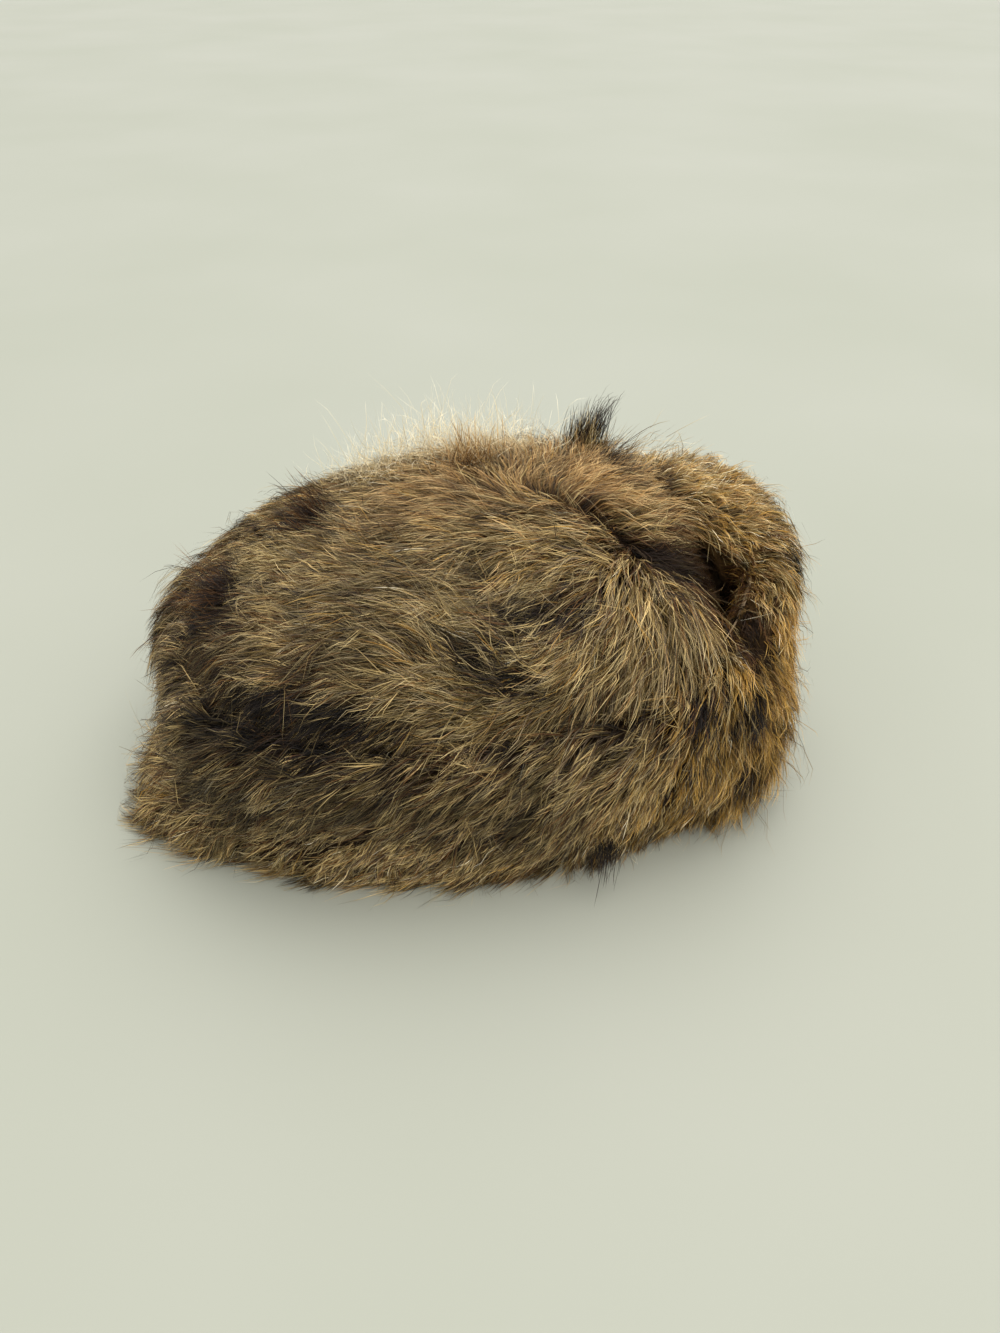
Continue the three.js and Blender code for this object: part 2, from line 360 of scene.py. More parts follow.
@dataclass(frozen=True)
class Skin:
    """A surface that hair grows from, with two coordinates."""

    form: HatForm
    deep: float
    swells: tuple[Swell, ...] = ()
    low: tuple[float, float] = (-1.0, -1.0)
    high: tuple[float, float] = (1.0, 1.0)
    give: float = 0.6
    thinnest: float = 0.4
    longest_step: float = 0.6

    def core(self, a: Array, b: Array) -> tuple[Array, Array, Array]:
        """Returns the hide's points, the ways outward and the skin's depth over it before the swells."""
        raise NotImplementedError

    def fullness(self, points: Array) -> Array:
        """Returns how far the swells lift the coat at these points."""
        return summed(self.swells, "depth", points)

    def at(self, a: Array, b: Array) -> Array:
        """Returns the points at these coordinates."""
        points, outward, depth = self.core(a, b)
        return points + outward * self.swollen(points, outward, depth)[:, None]

    def room(self, a: Array, b: Array) -> Array:
        """Returns how far over the hide the skin lies at these coordinates."""
        return self.swollen(*self.core(a, b))

    def swollen(self, points: Array, outward: Array, depth: Array) -> Array:
        """Returns the skin's depth over the hide with the swells."""
        lift = self.give * self.fullness(points + outward * depth[:, None])
        return np.maximum(depth + lift, np.minimum(depth, self.thinnest))

    def holds(self, a: Array, b: Array) -> Array:
        """Returns whether hair may be rooted at these coordinates."""
        return np.ones(a.shape, bool)

    def footing(self, a: Array, b: Array) -> Footing:
        """Finds the surface and its directions.

        Args:
            a: The first coordinate.
            b: The second coordinate.

        Returns:
            The points, the normals and how the points move with each coordinate.
        """
        step = 0.004
        along_a = (self.at(a + step, b) - self.at(a - step, b)) / (2 * step)
        along_b = (self.at(a, b + step) - self.at(a, b - step)) / (2 * step)
        return Footing(self.at(a, b), unit(np.cross(along_a, along_b)), along_a, along_b)

    def walked(self, a: Array, b: Array, foot: Footing, move: Array) -> tuple[Array, Array]:
        """Finds where steps along the skin lead.

        Args:
            a: The first coordinate of each start.
            b: The second coordinate of each start.
            foot: The footings there.
            move: The steps.

        Returns:
            The two coordinates of each end.
        """
        ends = (foot.along_a, foot.along_b)
        aa, ab, bb = (dot(ends[i], ends[j])[:, 0] for i, j in ((0, 0), (0, 1), (1, 1)))
        ma, mb = dot(foot.along_a, move)[:, 0], dot(foot.along_b, move)[:, 0]
        det = np.maximum(aa * bb - ab * ab, 1e-3 * aa * bb + 1e-6)
        step_a = np.clip((ma * bb - mb * ab) / det, -self.longest_step, self.longest_step)
        step_b = np.clip((mb * aa - ma * ab) / det, -self.longest_step, self.longest_step)
        return a + step_a, b + step_b

    def scatter(self, count: int, density: Callable[[Array], Array], rng: Random) -> tuple[Array, Array]:
        """Spreads places over the skin, evenly by area times density.

        Args:
            count: How many places.
            density: Gives the density at points.
            rng: The source of random numbers.

        Returns:
            The two coordinates of each place.
        """
        cells = 150
        edges = [np.linspace(self.low[i], self.high[i], cells + 1) for i in (0, 1)]
        middles = [(edge[1:] + edge[:-1]) / 2 for edge in edges]
        a, b = (grid.ravel() for grid in np.meshgrid(*middles, indexing="ij"))
        foot = self.footing(a, b)
        area = np.linalg.norm(np.cross(foot.along_a, foot.along_b), axis=1)
        weight = np.cumsum(area * density(foot.point) * self.holds(a, b))
        wanted = (np.arange(count) + rng.random(count)) / count * weight[-1]
        cell = np.minimum(np.searchsorted(weight, wanted), len(a) - 1)
        stray = rng.uniform(-0.5, 0.5, (2, count))
        wide = [edge[1] - edge[0] for edge in edges]
        return a[cell] + stray[0] * wide[0], b[cell] + stray[1] * wide[1]


@dataclass(frozen=True)
class CrownSkin(Skin):
    """The crown's skin, which lies in its fur at a share of the fur's depth.

    Its coordinates are those of a disc: the middle is the crown's top, +a is forward and the rim is the
    crease beside the cuff.
    """

    crevice: float = 0.55

    def fur_depth(self, angle: Array, place: Array, height: Array) -> Array:
        """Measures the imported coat, which is thinner down in the crevice behind the cuff's tall front.

        Args:
            angle: The direction round the hat.
            place: The place up the crown's table.
            height: The hide's height there.

        Returns:
            The coat's depth.
        """
        tall = smooth(self.form.cuff_at(angle, "top"), 55, 80)
        down = 1 - smooth(height, 75, 95)
        return between(column(CROWN_ROWS, "fur"), place) * (1 - (1 - self.crevice) * tall * down)

    def core(self, a: Array, b: Array) -> tuple[Array, Array, Array]:
        """Finds the hide under the skin.

        Args:
            a: The first coordinate.
            b: The second coordinate.

        Returns:
            The hide's points, the ways outward and the skin's depth over it before the swells.
        """
        angle = np.arctan2(b, a)
        place = np.clip(self.form.pole - (self.form.pole - 1) * np.hypot(a, b), 0, self.form.pole)
        hide = self.form.crown_hide(angle, place)
        outward = self.form.crown_normal(angle, place)
        return hide, outward, self.deep * self.fur_depth(angle, place, hide[:, 2])

    def holds(self, a: Array, b: Array) -> Array:
        """Returns whether hair may be rooted at these coordinates."""
        return np.hypot(a, b) < 0.97


@dataclass(frozen=True)
class CuffSkin(Skin):
    """The cuff's skin, over its crest and down its outside.

    The first coordinate runs from the crevice over the crest to the ground, and the second is the angle
    round the hat. Towards the far side of the tall front the wool leans in and fills the crevice.
    """

    low: tuple[float, float] = (0.0, -math.pi)
    high: tuple[float, float] = (7.0, math.pi)

    def lean_in(self, b: Array) -> Array:
        """Returns how far the wool of the crest leans in over the crevice at these angles."""
        angle = np.degrees(np.arctan2(np.sin(b), np.cos(b)))
        filled = smooth(angle, -20, -10) * (1 - smooth(angle, 60, 76))
        return 1.1 * np.maximum(0, self.form.cuff_at(b, "top") - 58) * filled

    def over_hide(self, out: Array) -> Array:
        """Returns the height of the crown's hide this far outside its rim, at the front."""
        reach = column(CROWN_ROWS, "front") + column(CROWN_ROWS, "ahead") - CROWN_ROWS[0].front
        return np.interp(out, reach[::-1], column(CROWN_ROWS, "height")[::-1])

    def inner_edge(self, b: Array) -> tuple[Array, Array]:
        """Returns how far out the wool begins at these angles, and how high."""
        lean = self.lean_in(b)
        out = 2 - 0.9 * lean
        return out, np.maximum(self.form.cuff_at(b, "top") - 17, (self.over_hide(out) + 3) * (lean > 1))

    def core(self, a: Array, b: Array) -> tuple[Array, Array, Array]:
        """Finds the hide under the skin.

        Args:
            a: The first coordinate.
            b: The second coordinate.

        Returns:
            The hide's points, the ways outward and the skin's depth over it before the swells.
        """
        top, fur = self.form.cuff_at(b, "top"), self.form.cuff_at(b, "fur") * self.deep
        lean, still = self.lean_in(b), 0 * b
        raised = lean * (1 - 0.6 * smooth(np.degrees(np.arctan2(np.sin(b), np.cos(b))), 10, 45))
        first = self.inner_edge(b)
        outs = [first[0], 2.5 - lean, 5 - 0.5 * lean]
        outs += [out + still for out in (9.8, 10, 10.2, 10.9, 10.4, 8)]
        depths = [share * fur for share in (0, 0, 0, 0.4, 1, 1, 1, 0.6, 0.2)]
        heights = [first[1], top - 4 + 0.58 * raised, top + 1 + 0.27 * raised, top + 1.5, top - 6, top * 0.5]
        heights += [height + still for height in (10, 1, -10)]
        place = np.clip(a, 0, len(outs) - 1.001)
        out, depth, height = (between(np.stack(values, 1), place) for values in (outs, depths, heights))
        points = self.form.cuff_point(b, out, height)
        outward = unit((points - np.array([*self.form.middle, 0])) * (1.0, 1.0, 0.0))
        return points, outward, np.maximum(depth, 0)


class Tone(IntEnum):
    """The kinds of hair in the coats."""

    OLIVE = 0
    WARM = 1
    GOLD = 2
    GREY = 3
    BLACK = 4
    CREAM = 5
    DARK_TIPPED = 6
    RUSSET = 7
    AGOUTI = 8


@dataclass(frozen=True)
class Patch(Spot):
    """A place with more of one kind of hair. Most give the coat's own tone; the marked ones are painted
    shade or light.
    """

    tone: Tone
    strength: float


@dataclass(frozen=True)
class Layer:
    """One depth of a coat's hair: how much there is of it and how its hairs are made."""

    name: str
    guides: int
    hairs: int
    points: int
    width: float
    length: tuple[float, float]
    tuft: float
    gather: tuple[float, float]
    spin: float
    sunk: float
    stray: float
    wave: float
    tip: float = 1.0
    bright: float = 0.5
    raised: float = 1.0


@dataclass
class Locks:
    """The locks that a coat parts into: where each is rooted and what its hairs share."""

    point: Array
    spin: Array
    bright: Array
    roll: Array

    def nearest(self, points: Array) -> Array:
        """Finds the nearest lock to each point.

        Args:
            points: The points.

        Returns:
            The number of a lock for each point.
        """
        batch = 500
        parts = np.array_split(points, max(1, len(points) // batch))
        apart = (((part[:, None] - self.point[None]) ** 2).sum(-1) for part in parts)
        return np.concatenate([squares.argmin(1) for squares in apart])


@dataclass
class Guides:
    """Guide hairs: points, normals and tangents at even steps along each one, and its own properties."""

    points: Array
    normals: Array
    tangents: Array
    tone: Array
    roll: Array
    bright: Array
    room: Array


@dataclass
class Strands:
    """Hairs of one layer, ready to be meshed."""

    points: Array
    sides: Array
    tone: Array
    bright: Array
    bearing: Array


@dataclass
class Coat:
    """A coat of long fur: the skin that it grows from, the way it lies and the hair that it has."""

    name: str
    node: str
    slot: str
    skin: Skin
    layers: tuple[Layer, ...]
    combs: tuple[Comb, ...]
    patches: tuple[Patch, ...]
    # Spots of painted light and shade, and in some places the hair's own tone, that lighten or darken the
    # hair.
    shades: tuple[PaintedLightAndTone, ...]
    seed: int
    locks: int = 1250
    lock_gather: float = 0.62
    lock_turn: float = 13.0
    steps: int = 6
    shared: float = 0.35
    natural: float = 0.3
    wander: float = 15.0
    longer: tuple[float, float] = (0.85, 1.15)
    higher: tuple[float, float] = (0.75, 1.2)
    thicker: tuple[float, float] = (0.7, 1.3)
    freer: float = 0.12
    droop: float = 0.2
    lock_half: float = 3.4
    matched: float = 0.4
    twist: float = 55.0
    most_triangles: int = 190_000
    reach: Triple = (139.0, 115.0, 124.0)
    tufts: tuple["Tuft", ...] = ()
    pieces: list[bpy.types.Object] = field(default_factory=list)

    def density(self, points: Array) -> Array:
        """Returns how dense the hair is at these points, most where it is seen from."""
        return 1 + 0.9 * smooth(-points[:, 1], -35, 15)

    def lie(self, foot: Footing, a: Array, b: Array) -> Array:
        """Returns the way the hair lies at these footings where it isn't combed."""
        raise NotImplementedError

    def length(self, points: Array, b: Array) -> Array:
        """Returns the length of the coat's longest hair at these points."""
        raise NotImplementedError

    def height(self, points: Array, a: Array, b: Array) -> Array:
        """Returns how far over the skin the hair's tips lie at these points."""
        raise NotImplementedError

    def looseness(self, points: Array, a: Array, b: Array) -> Array:
        """Returns how little the hair hugs the skin at these points, from 0 to 1."""
        raise NotImplementedError

    def gathering(self, points: Array) -> Array:
        """Returns how far the locks rooted at these points draw together at their tips."""
        return np.full(len(points), self.lock_gather)

    def ruffle(self, points: Array, b: Array) -> Array:
        """Returns how many times more ruffled the hair is at these points than smooth hair."""
        return np.ones(len(points))

    def mixture(self, points: Array) -> Array:
        """Returns how much of each kind of hair is seen at these points."""
        raise NotImplementedError

    def flow(self, foot: Footing, a: Array, b: Array) -> Array:
        """Returns the way the hair lies at these footings, combed.

        Args:
            foot: The footings.
            a: The skin's first coordinate at each.
            b: The skin's second coordinate at each.

        Returns:
            Unit vectors along the skin.
        """
        way = self.natural * self.lie(foot, a, b)
        for comb in self.combs:
            way = way + comb.felt(foot.point)[:, None] * np.array(comb.way)
        return unit(way - foot.normal * dot(way, foot.normal))

    def parted(self) -> Locks:
        """Parts the coat into locks, the same ones for every layer.

        Returns:
            The locks.
        """
        rng = np.random.default_rng(self.seed)
        point = self.skin.at(*self.skin.scatter(self.locks, self.density, rng))
        spin = rng.normal(0, self.lock_turn, self.locks)
        bright = rng.normal(0, 1, self.locks)
        return Locks(point, spin, bright, rng.random(self.locks))

    def tones(self, points: Array) -> Array:
        """Finds which kinds of hair grow at points, with the patches.

        Args:
            points: The points.

        Returns:
            For each point, the share of its hair that is of each kind or an earlier one.
        """
        mixture = self.mixture(points)
        for patch in self.patches:
            mixture[:, patch.tone] += patch.strength * patch.felt(points)
        return np.cumsum(mixture, 1) / mixture.sum(1, keepdims=True)

    def guide_hairs(self, layer: Layer, rng: Random) -> Guides:
        """Lays the guide hairs of one layer over the skin.

        Args:
            layer: The layer that they are for.
            rng: The source of random numbers.

        Returns:
            The guides.
        """
        locks = self.parted()
        a, b = self.skin.scatter(layer.guides, self.density, rng)
        foot = self.skin.footing(a, b)
        root = foot.point
        lock = locks.nearest(root)
        spin = locks.spin[lock] + rng.normal(0, layer.spin, layer.guides) * self.ruffle(root, b)
        spin = np.radians(spin + self.wander * Ripple(self.seed + 1, 40)(root))
        full = self.skin.fullness(root)
        longest = self.length(root, b) * np.clip(1 + 0.04 * full, 0.55, 1.3)
        longest = longest * rng.uniform(*self.longer, layer.guides)
        rise = np.maximum(self.height(root, a, b) + 0.4 * full, 2) * layer.raised
        rise = rise * rng.uniform(*self.higher, layer.guides)
        loose = self.looseness(root, a, b) + rng.normal(0, self.freer, layer.guides)
        loose = np.clip(loose, 0, 1.2)[:, None]
        gather = self.gathering(root)[:, None]
        first_way, first_normal = turned(self.flow(foot, a, b), foot.normal, spin), foot.normal
        across = np.cross(first_normal, first_way)
        aside = dot(root - locks.point[lock], across)
        from_middle = np.abs(aside[:, 0])
        crest = np.clip(1.2 - 0.6 * (from_middle / self.lock_half) ** 2, 0.4, 1.2)

        points, normals, rooms = [], [], []
        for k in range(self.steps + 1):
            share = k / self.steps
            way = turned(self.flow(foot, a, b), foot.normal, spin)
            lift = (rise * crest * math.sin(share**0.7 * math.pi / 2))[:, None]
            hugging = foot.point + foot.normal * lift
            free = root + first_way * (longest * share)[:, None] + first_normal * lift
            free -= UP * (longest * self.droop * share**2)[:, None]
            drawn_in = across * aside * (gather * share**1.1)
            points.append(hugging * (1 - loose) + free * loose - drawn_in)
            normals.append(foot.normal)
            rooms.append(self.skin.room(a, b)[:, None] + lift)
            a, b = self.skin.walked(a, b, foot, way * (longest / self.steps)[:, None])
            foot = self.skin.footing(a, b)

        points = np.stack(points)
        tangents = unit(np.gradient(points, axis=0))
        normals = np.stack(normals)
        normals = unit(normals - tangents * dot(normals, tangents))
        seen = points[self.steps // 2]
        roll = np.where(rng.random(layer.guides) < self.matched, locks.roll[lock], rng.random(layer.guides))
        light = 0.2 * locks.bright[lock] + 0.12 * rng.normal(size=layer.guides)
        # Painted shade: hair far from its lock's middle is darker, as if in the shade of the locks beside
        # it.
        light -= 0.3 * smooth(from_middle, 1.2, 3.6) - 0.09
        light += 0.12 * Ripple(self.seed + 2, 24)(seen) + 0.08 * Ripple(self.seed + 3, 9)(seen)
        # The spots add their painted light and shade, and in places the hair's own tone, to each guide's
        # lightness.
        light += layer.bright + summed(self.shades, "light", seen)
        return Guides(points, normals, tangents, self.tones(seen), roll, light, np.stack(rooms))

    def strands(self, layer: Layer, guides: Guides, rng: Random) -> Strands:
        """Grows the hairs of one layer round its guides.

        Args:
            layer: The layer.
            guides: Its guide hairs.
            rng: The source of random numbers.

        Returns:
            The hairs.
        """
        count = layer.guides * layer.hairs
        guide = np.repeat(np.arange(layer.guides), layer.hairs)
        share = np.linspace(0, 1, layer.points)[:, None] * rng.uniform(*layer.length, count)
        span = share * self.steps
        k = np.minimum(span.astype(int), self.steps - 1)
        t = (span - k)[..., None]

        def along(values: Array) -> Array:
            """Returns the guides' values at each hair's points."""
            return values[k, guide] * (1 - t) + values[k + 1, guide] * t

        base, normal = along(guides.points), unit(along(guides.normals))
        tangent = unit(along(guides.tangents))
        across = np.cross(normal, tangent)
        turn, far = rng.uniform(0, 2 * math.pi, count), np.sqrt(rng.random(count)) * layer.tuft
        wide, long = far * np.cos(turn), far * np.sin(turn)
        gather = rng.uniform(*layer.gather, layer.guides)[guide]
        kept = 1 - gather * np.minimum(share, 1) ** 1.2
        bend = rng.normal(0, layer.stray, count) * share**2
        lifted = rng.normal(0, layer.stray * 0.6, count) * share**2
        sunk = layer.sunk * rng.random(count) * np.minimum(share, 1) ** 0.7
        sunk = np.minimum(sunk, 0.8 * along(guides.room)[..., 0])
        pitch = (5 + 7 * rng.random(layer.guides))[guide] + rng.normal(0, 0.8, count)
        phase = (2 * math.pi * guides.roll)[guide] + rng.normal(0, 0.5, count)
        wave = layer.wave * rng.uniform(0.5, 1, count) * np.sin(share * pitch + phase)
        points = base + across * (wide * kept + bend + wave)[..., None]
        points += tangent * (long * (1 - 0.4 * share))[..., None]
        points += normal * (lifted - sunk + 0.6 * wave)[..., None]
        own = np.where(rng.random(count) < self.shared, guides.roll[guide], rng.random(count))
        tone = np.minimum((guides.tone[guide] < own[:, None]).sum(1), len(Tone) - 1)
        bright = guides.bright[guide] + rng.normal(0, 0.14, count)
        return self.finished(points, normal, layer.width, tone, bright, rng)

    def finished(
        self, points: Array, normal: Array, width: float, tone: Array, bright: Array, rng: Random
    ) -> Strands:
        """Settles hairs and gives each its flat side.

        Args:
            points: The points along each hair.
            normal: The way the coat faces at each point.
            width: The hairs' width.
            tone: The kind of each hair.
            bright: How light each hair is.
            rng: The source of random numbers.

        Returns:
            The hairs.
        """
        rows, count = points.shape[:2]
        points = self.settled(points)
        tangent = unit(np.gradient(points, axis=0))
        normal = unit(normal - tangent * dot(normal, tangent))
        twist = np.radians(rng.uniform(-self.twist, self.twist, count))
        side = np.cross(normal, tangent) * np.cos(twist)[:, None] + normal * np.sin(twist)[:, None]
        taper = np.interp(np.linspace(0, 1, rows), (0, 0.3, 0.8, 1), (0.8, 1, 0.75, 0))
        half = 0.5 * width * rng.uniform(*self.thicker, count)
        bearing = np.arctan2(points[0, :, 1], points[0, :, 0])
        return Strands(points, side * (taper[:, None] * half)[..., None], tone, bright, bearing)

    def settled(self, points: Array) -> Array:
        """Lays hair that would reach below the ground out over it, and keeps it near the hat.

        Args:
            points: The points along each hair.

        Returns:
            The settled points.
        """
        low, edge = 0.5, 6.0
        sunk = np.clip(low - points[..., 2], 0, None)
        outward = points * (1.0, 1.0, 0.0)
        points = points + unit(outward) * (sunk * 0.75)[..., None]
        points[..., 2] = np.where(sunk > 0, low + 0.06 * sunk, points[..., 2])
        limit = np.array(self.reach)
        over = np.clip(np.abs(points) - (limit - edge), 0, None)
        return points - np.sign(points) * (over - edge * np.tanh(over / edge))

    def grow(self, finish: bpy.types.Material) -> None:
        """Makes the coat's hair as meshes and puts them on the hat.

        Args:
            finish: The hair's material.
        """
        for order, layer in enumerate(self.layers):
            rng = np.random.default_rng(self.seed + 10 * (order + 1))
            self.mesh(layer.name, self.strands(layer, self.guide_hairs(layer, rng), rng), layer.tip, finish)
        for order, tuft in enumerate(self.tufts):
            rng = np.random.default_rng(self.seed + 100 * (order + 1))
            self.mesh(f"tuft_{order + 1}", tuft.strands(self, rng), 1.0, finish)

    def mesh(self, name: str, hair: Strands, tip: float, finish: bpy.types.Material) -> None:
        """Meshes hairs in sectors round the hat, so that no piece has too many faces.

        Args:
            name: What the hairs are called.
            hair: The hairs.
            tip: How far up its colours each hair's tip comes.
            finish: The hair's material.
        """
        triangles = len(hair.tone) * (2 * len(hair.points) - 3)
        order = np.argsort(hair.bearing, kind="stable")
        parts = np.array_split(order, math.ceil(triangles / self.most_triangles))
        for number, part in enumerate(parts):
            label = f"{self.name}_{name}" + (f"_{number + 1}" if len(parts) > 1 else "")
            self.pieces.append(dressed(ribbons(label, hair, part, tip), finish, self.slot, self.node))


@dataclass(frozen=True)
class Tuft(Spot):
    """A tuft of hairs that stands out of the coat one way."""

    way: Triple
    length: float
    count: int
    tone: Tone
    spread: float = 0.25
    width: float = 0.3
    bright: float = 0.5
    closing: float = 0.0
    rarity: float = 1.0
    sunk: float = 3.0
    crimp: float = 0.0
    rows: int = 6

    def strands(self, coat: Coat, rng: Random) -> Strands:
        """Grows the tuft's hairs.

        Args:
            coat: The coat that it stands in.
            rng: The source of random numbers.

        Returns:
            The hairs.
        """
        way = unit(np.array(self.way))
        roots = rng.normal(0, 1, (self.count, 3)) * self.radius
        roots = roots - way * dot(roots, way) * 0.7
        share = np.linspace(0, 1, self.rows)[:, None, None]
        drawn = 1 - self.closing * share**1.5
        wander = self.spread * rng.normal(size=(self.count, 3))
        curl = self.spread * rng.normal(size=(self.count, 3)) * self.length * 0.35
        lengths = (self.length * (0.3 + 0.8 * rng.random(self.count) ** self.rarity))[:, None]
        points = np.array(self.centre) - way * self.sunk + roots * drawn
        points = points + (way + wander) * lengths * share + curl * share**2
        turn = rng.uniform(0, 2 * math.pi, (self.count, 1))
        points = points + self.crimp * unit(wander) * (np.sin(7 * share + turn) - np.sin(turn))
        normal = np.broadcast_to(unit(np.cross(way, rng.normal(size=(self.count, 3)))), points.shape)
        bright = self.bright + rng.normal(0, 0.15, self.count)
        tone = np.full(self.count, int(self.tone))
        return coat.finished(points, normal, self.width, tone, bright, rng)


@dataclass(frozen=True)
class HairMap:
    """How the hair's own map is laid out: a column for each kind of hair and lightness."""

    shades: int = 8
    fill: float = 0.3
    margin: float = 0.004

    @property
    def columns(self) -> int:
        """The number of columns."""
        return len(Tone) * self.shades


HAIR_MAP = HairMap()


def ribbons(name: str, hair: Strands, part: Array, tip: float) -> bpy.types.Object:
    """Meshes hairs as tapered ribbons that end in a point.

    Args:
        name: The piece's name.
        hair: The hairs of a layer.
        part: The numbers of the hairs to mesh.
        tip: How far up its colours each hair's tip comes.

    Returns:
        The piece.
    """
    middle, side = hair.points[:, part], hair.sides[:, part]
    count, points = len(part), len(middle)
    stride = 2 * points - 1
    places = np.empty((count, stride, 3))
    places[:, 0:-1:2] = (middle + side)[:-1].transpose(1, 0, 2)
    places[:, 1::2] = (middle - side)[:-1].transpose(1, 0, 2)
    places[:, -1] = middle[-1]
    corners = []
    for k in range(points - 2):
        corners += [2 * k, 2 * k + 1, 2 * k + 3, 2 * k + 2]
    corners += [stride - 3, stride - 2, stride - 1]
    sizes = np.array([4] * (points - 2) + [3])
    loops = (np.arange(count)[:, None] * stride + np.array(corners)).ravel()

    mesh = bpy.data.meshes.new(name)
    mesh.vertices.add(count * stride)
    mesh.vertices.foreach_set("co", (places * METRE).astype(np.float32).ravel())
    mesh.loops.add(len(loops))
    mesh.loops.foreach_set("vertex_index", loops.astype(np.int32))
    mesh.polygons.add(count * len(sizes))
    starts = np.cumsum(np.tile(sizes, count)) - np.tile(sizes, count)
    mesh.polygons.foreach_set("loop_start", starts.astype(np.int32))
    mesh.polygons.foreach_set("use_smooth", np.ones(count * len(sizes), bool))

    # Each hair's lightness, painted light and shade included, picks its column of the map.
    shade = np.clip(np.floor(hair.bright[part] * HAIR_MAP.shades), 0, HAIR_MAP.shades - 1)
    centre = hair.tone[part] * HAIR_MAP.shades + shade + 0.5
    across = np.tile([-HAIR_MAP.fill / 2, HAIR_MAP.fill / 2], points)[:stride]
    across[-1] = 0
    along = np.repeat(np.linspace(0, 1, points), 2)[:stride]
    u = (centre[:, None] + across) / HAIR_MAP.columns
    v = HAIR_MAP.margin + (1 - 2 * HAIR_MAP.margin) * tip * along
    spots = np.stack([u, np.broadcast_to(v, u.shape)], -1)
    layer = mesh.uv_layers.new(name="OFBake")
    layer.data.foreach_set("uv", spots.reshape(-1, 2)[loops].astype(np.float32).ravel())
    mesh.update(calc_edges=True)
    piece = bpy.data.objects.new(name, mesh)
    bpy.context.scene.collection.objects.link(piece)
    return piece


def dressed(piece: bpy.types.Object, finish: bpy.types.Material, slot: str, *nodes: str) -> bpy.types.Object:
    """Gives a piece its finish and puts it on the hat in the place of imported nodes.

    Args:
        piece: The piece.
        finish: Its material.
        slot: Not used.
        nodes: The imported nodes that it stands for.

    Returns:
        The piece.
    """
    piece.data.materials.clear()
    piece.data.materials.append(finish)
    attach(piece, "root")
    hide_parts(*nodes)
    LOG.info("%s: %d faces", piece.name, len(piece.data.polygons))
    return piece


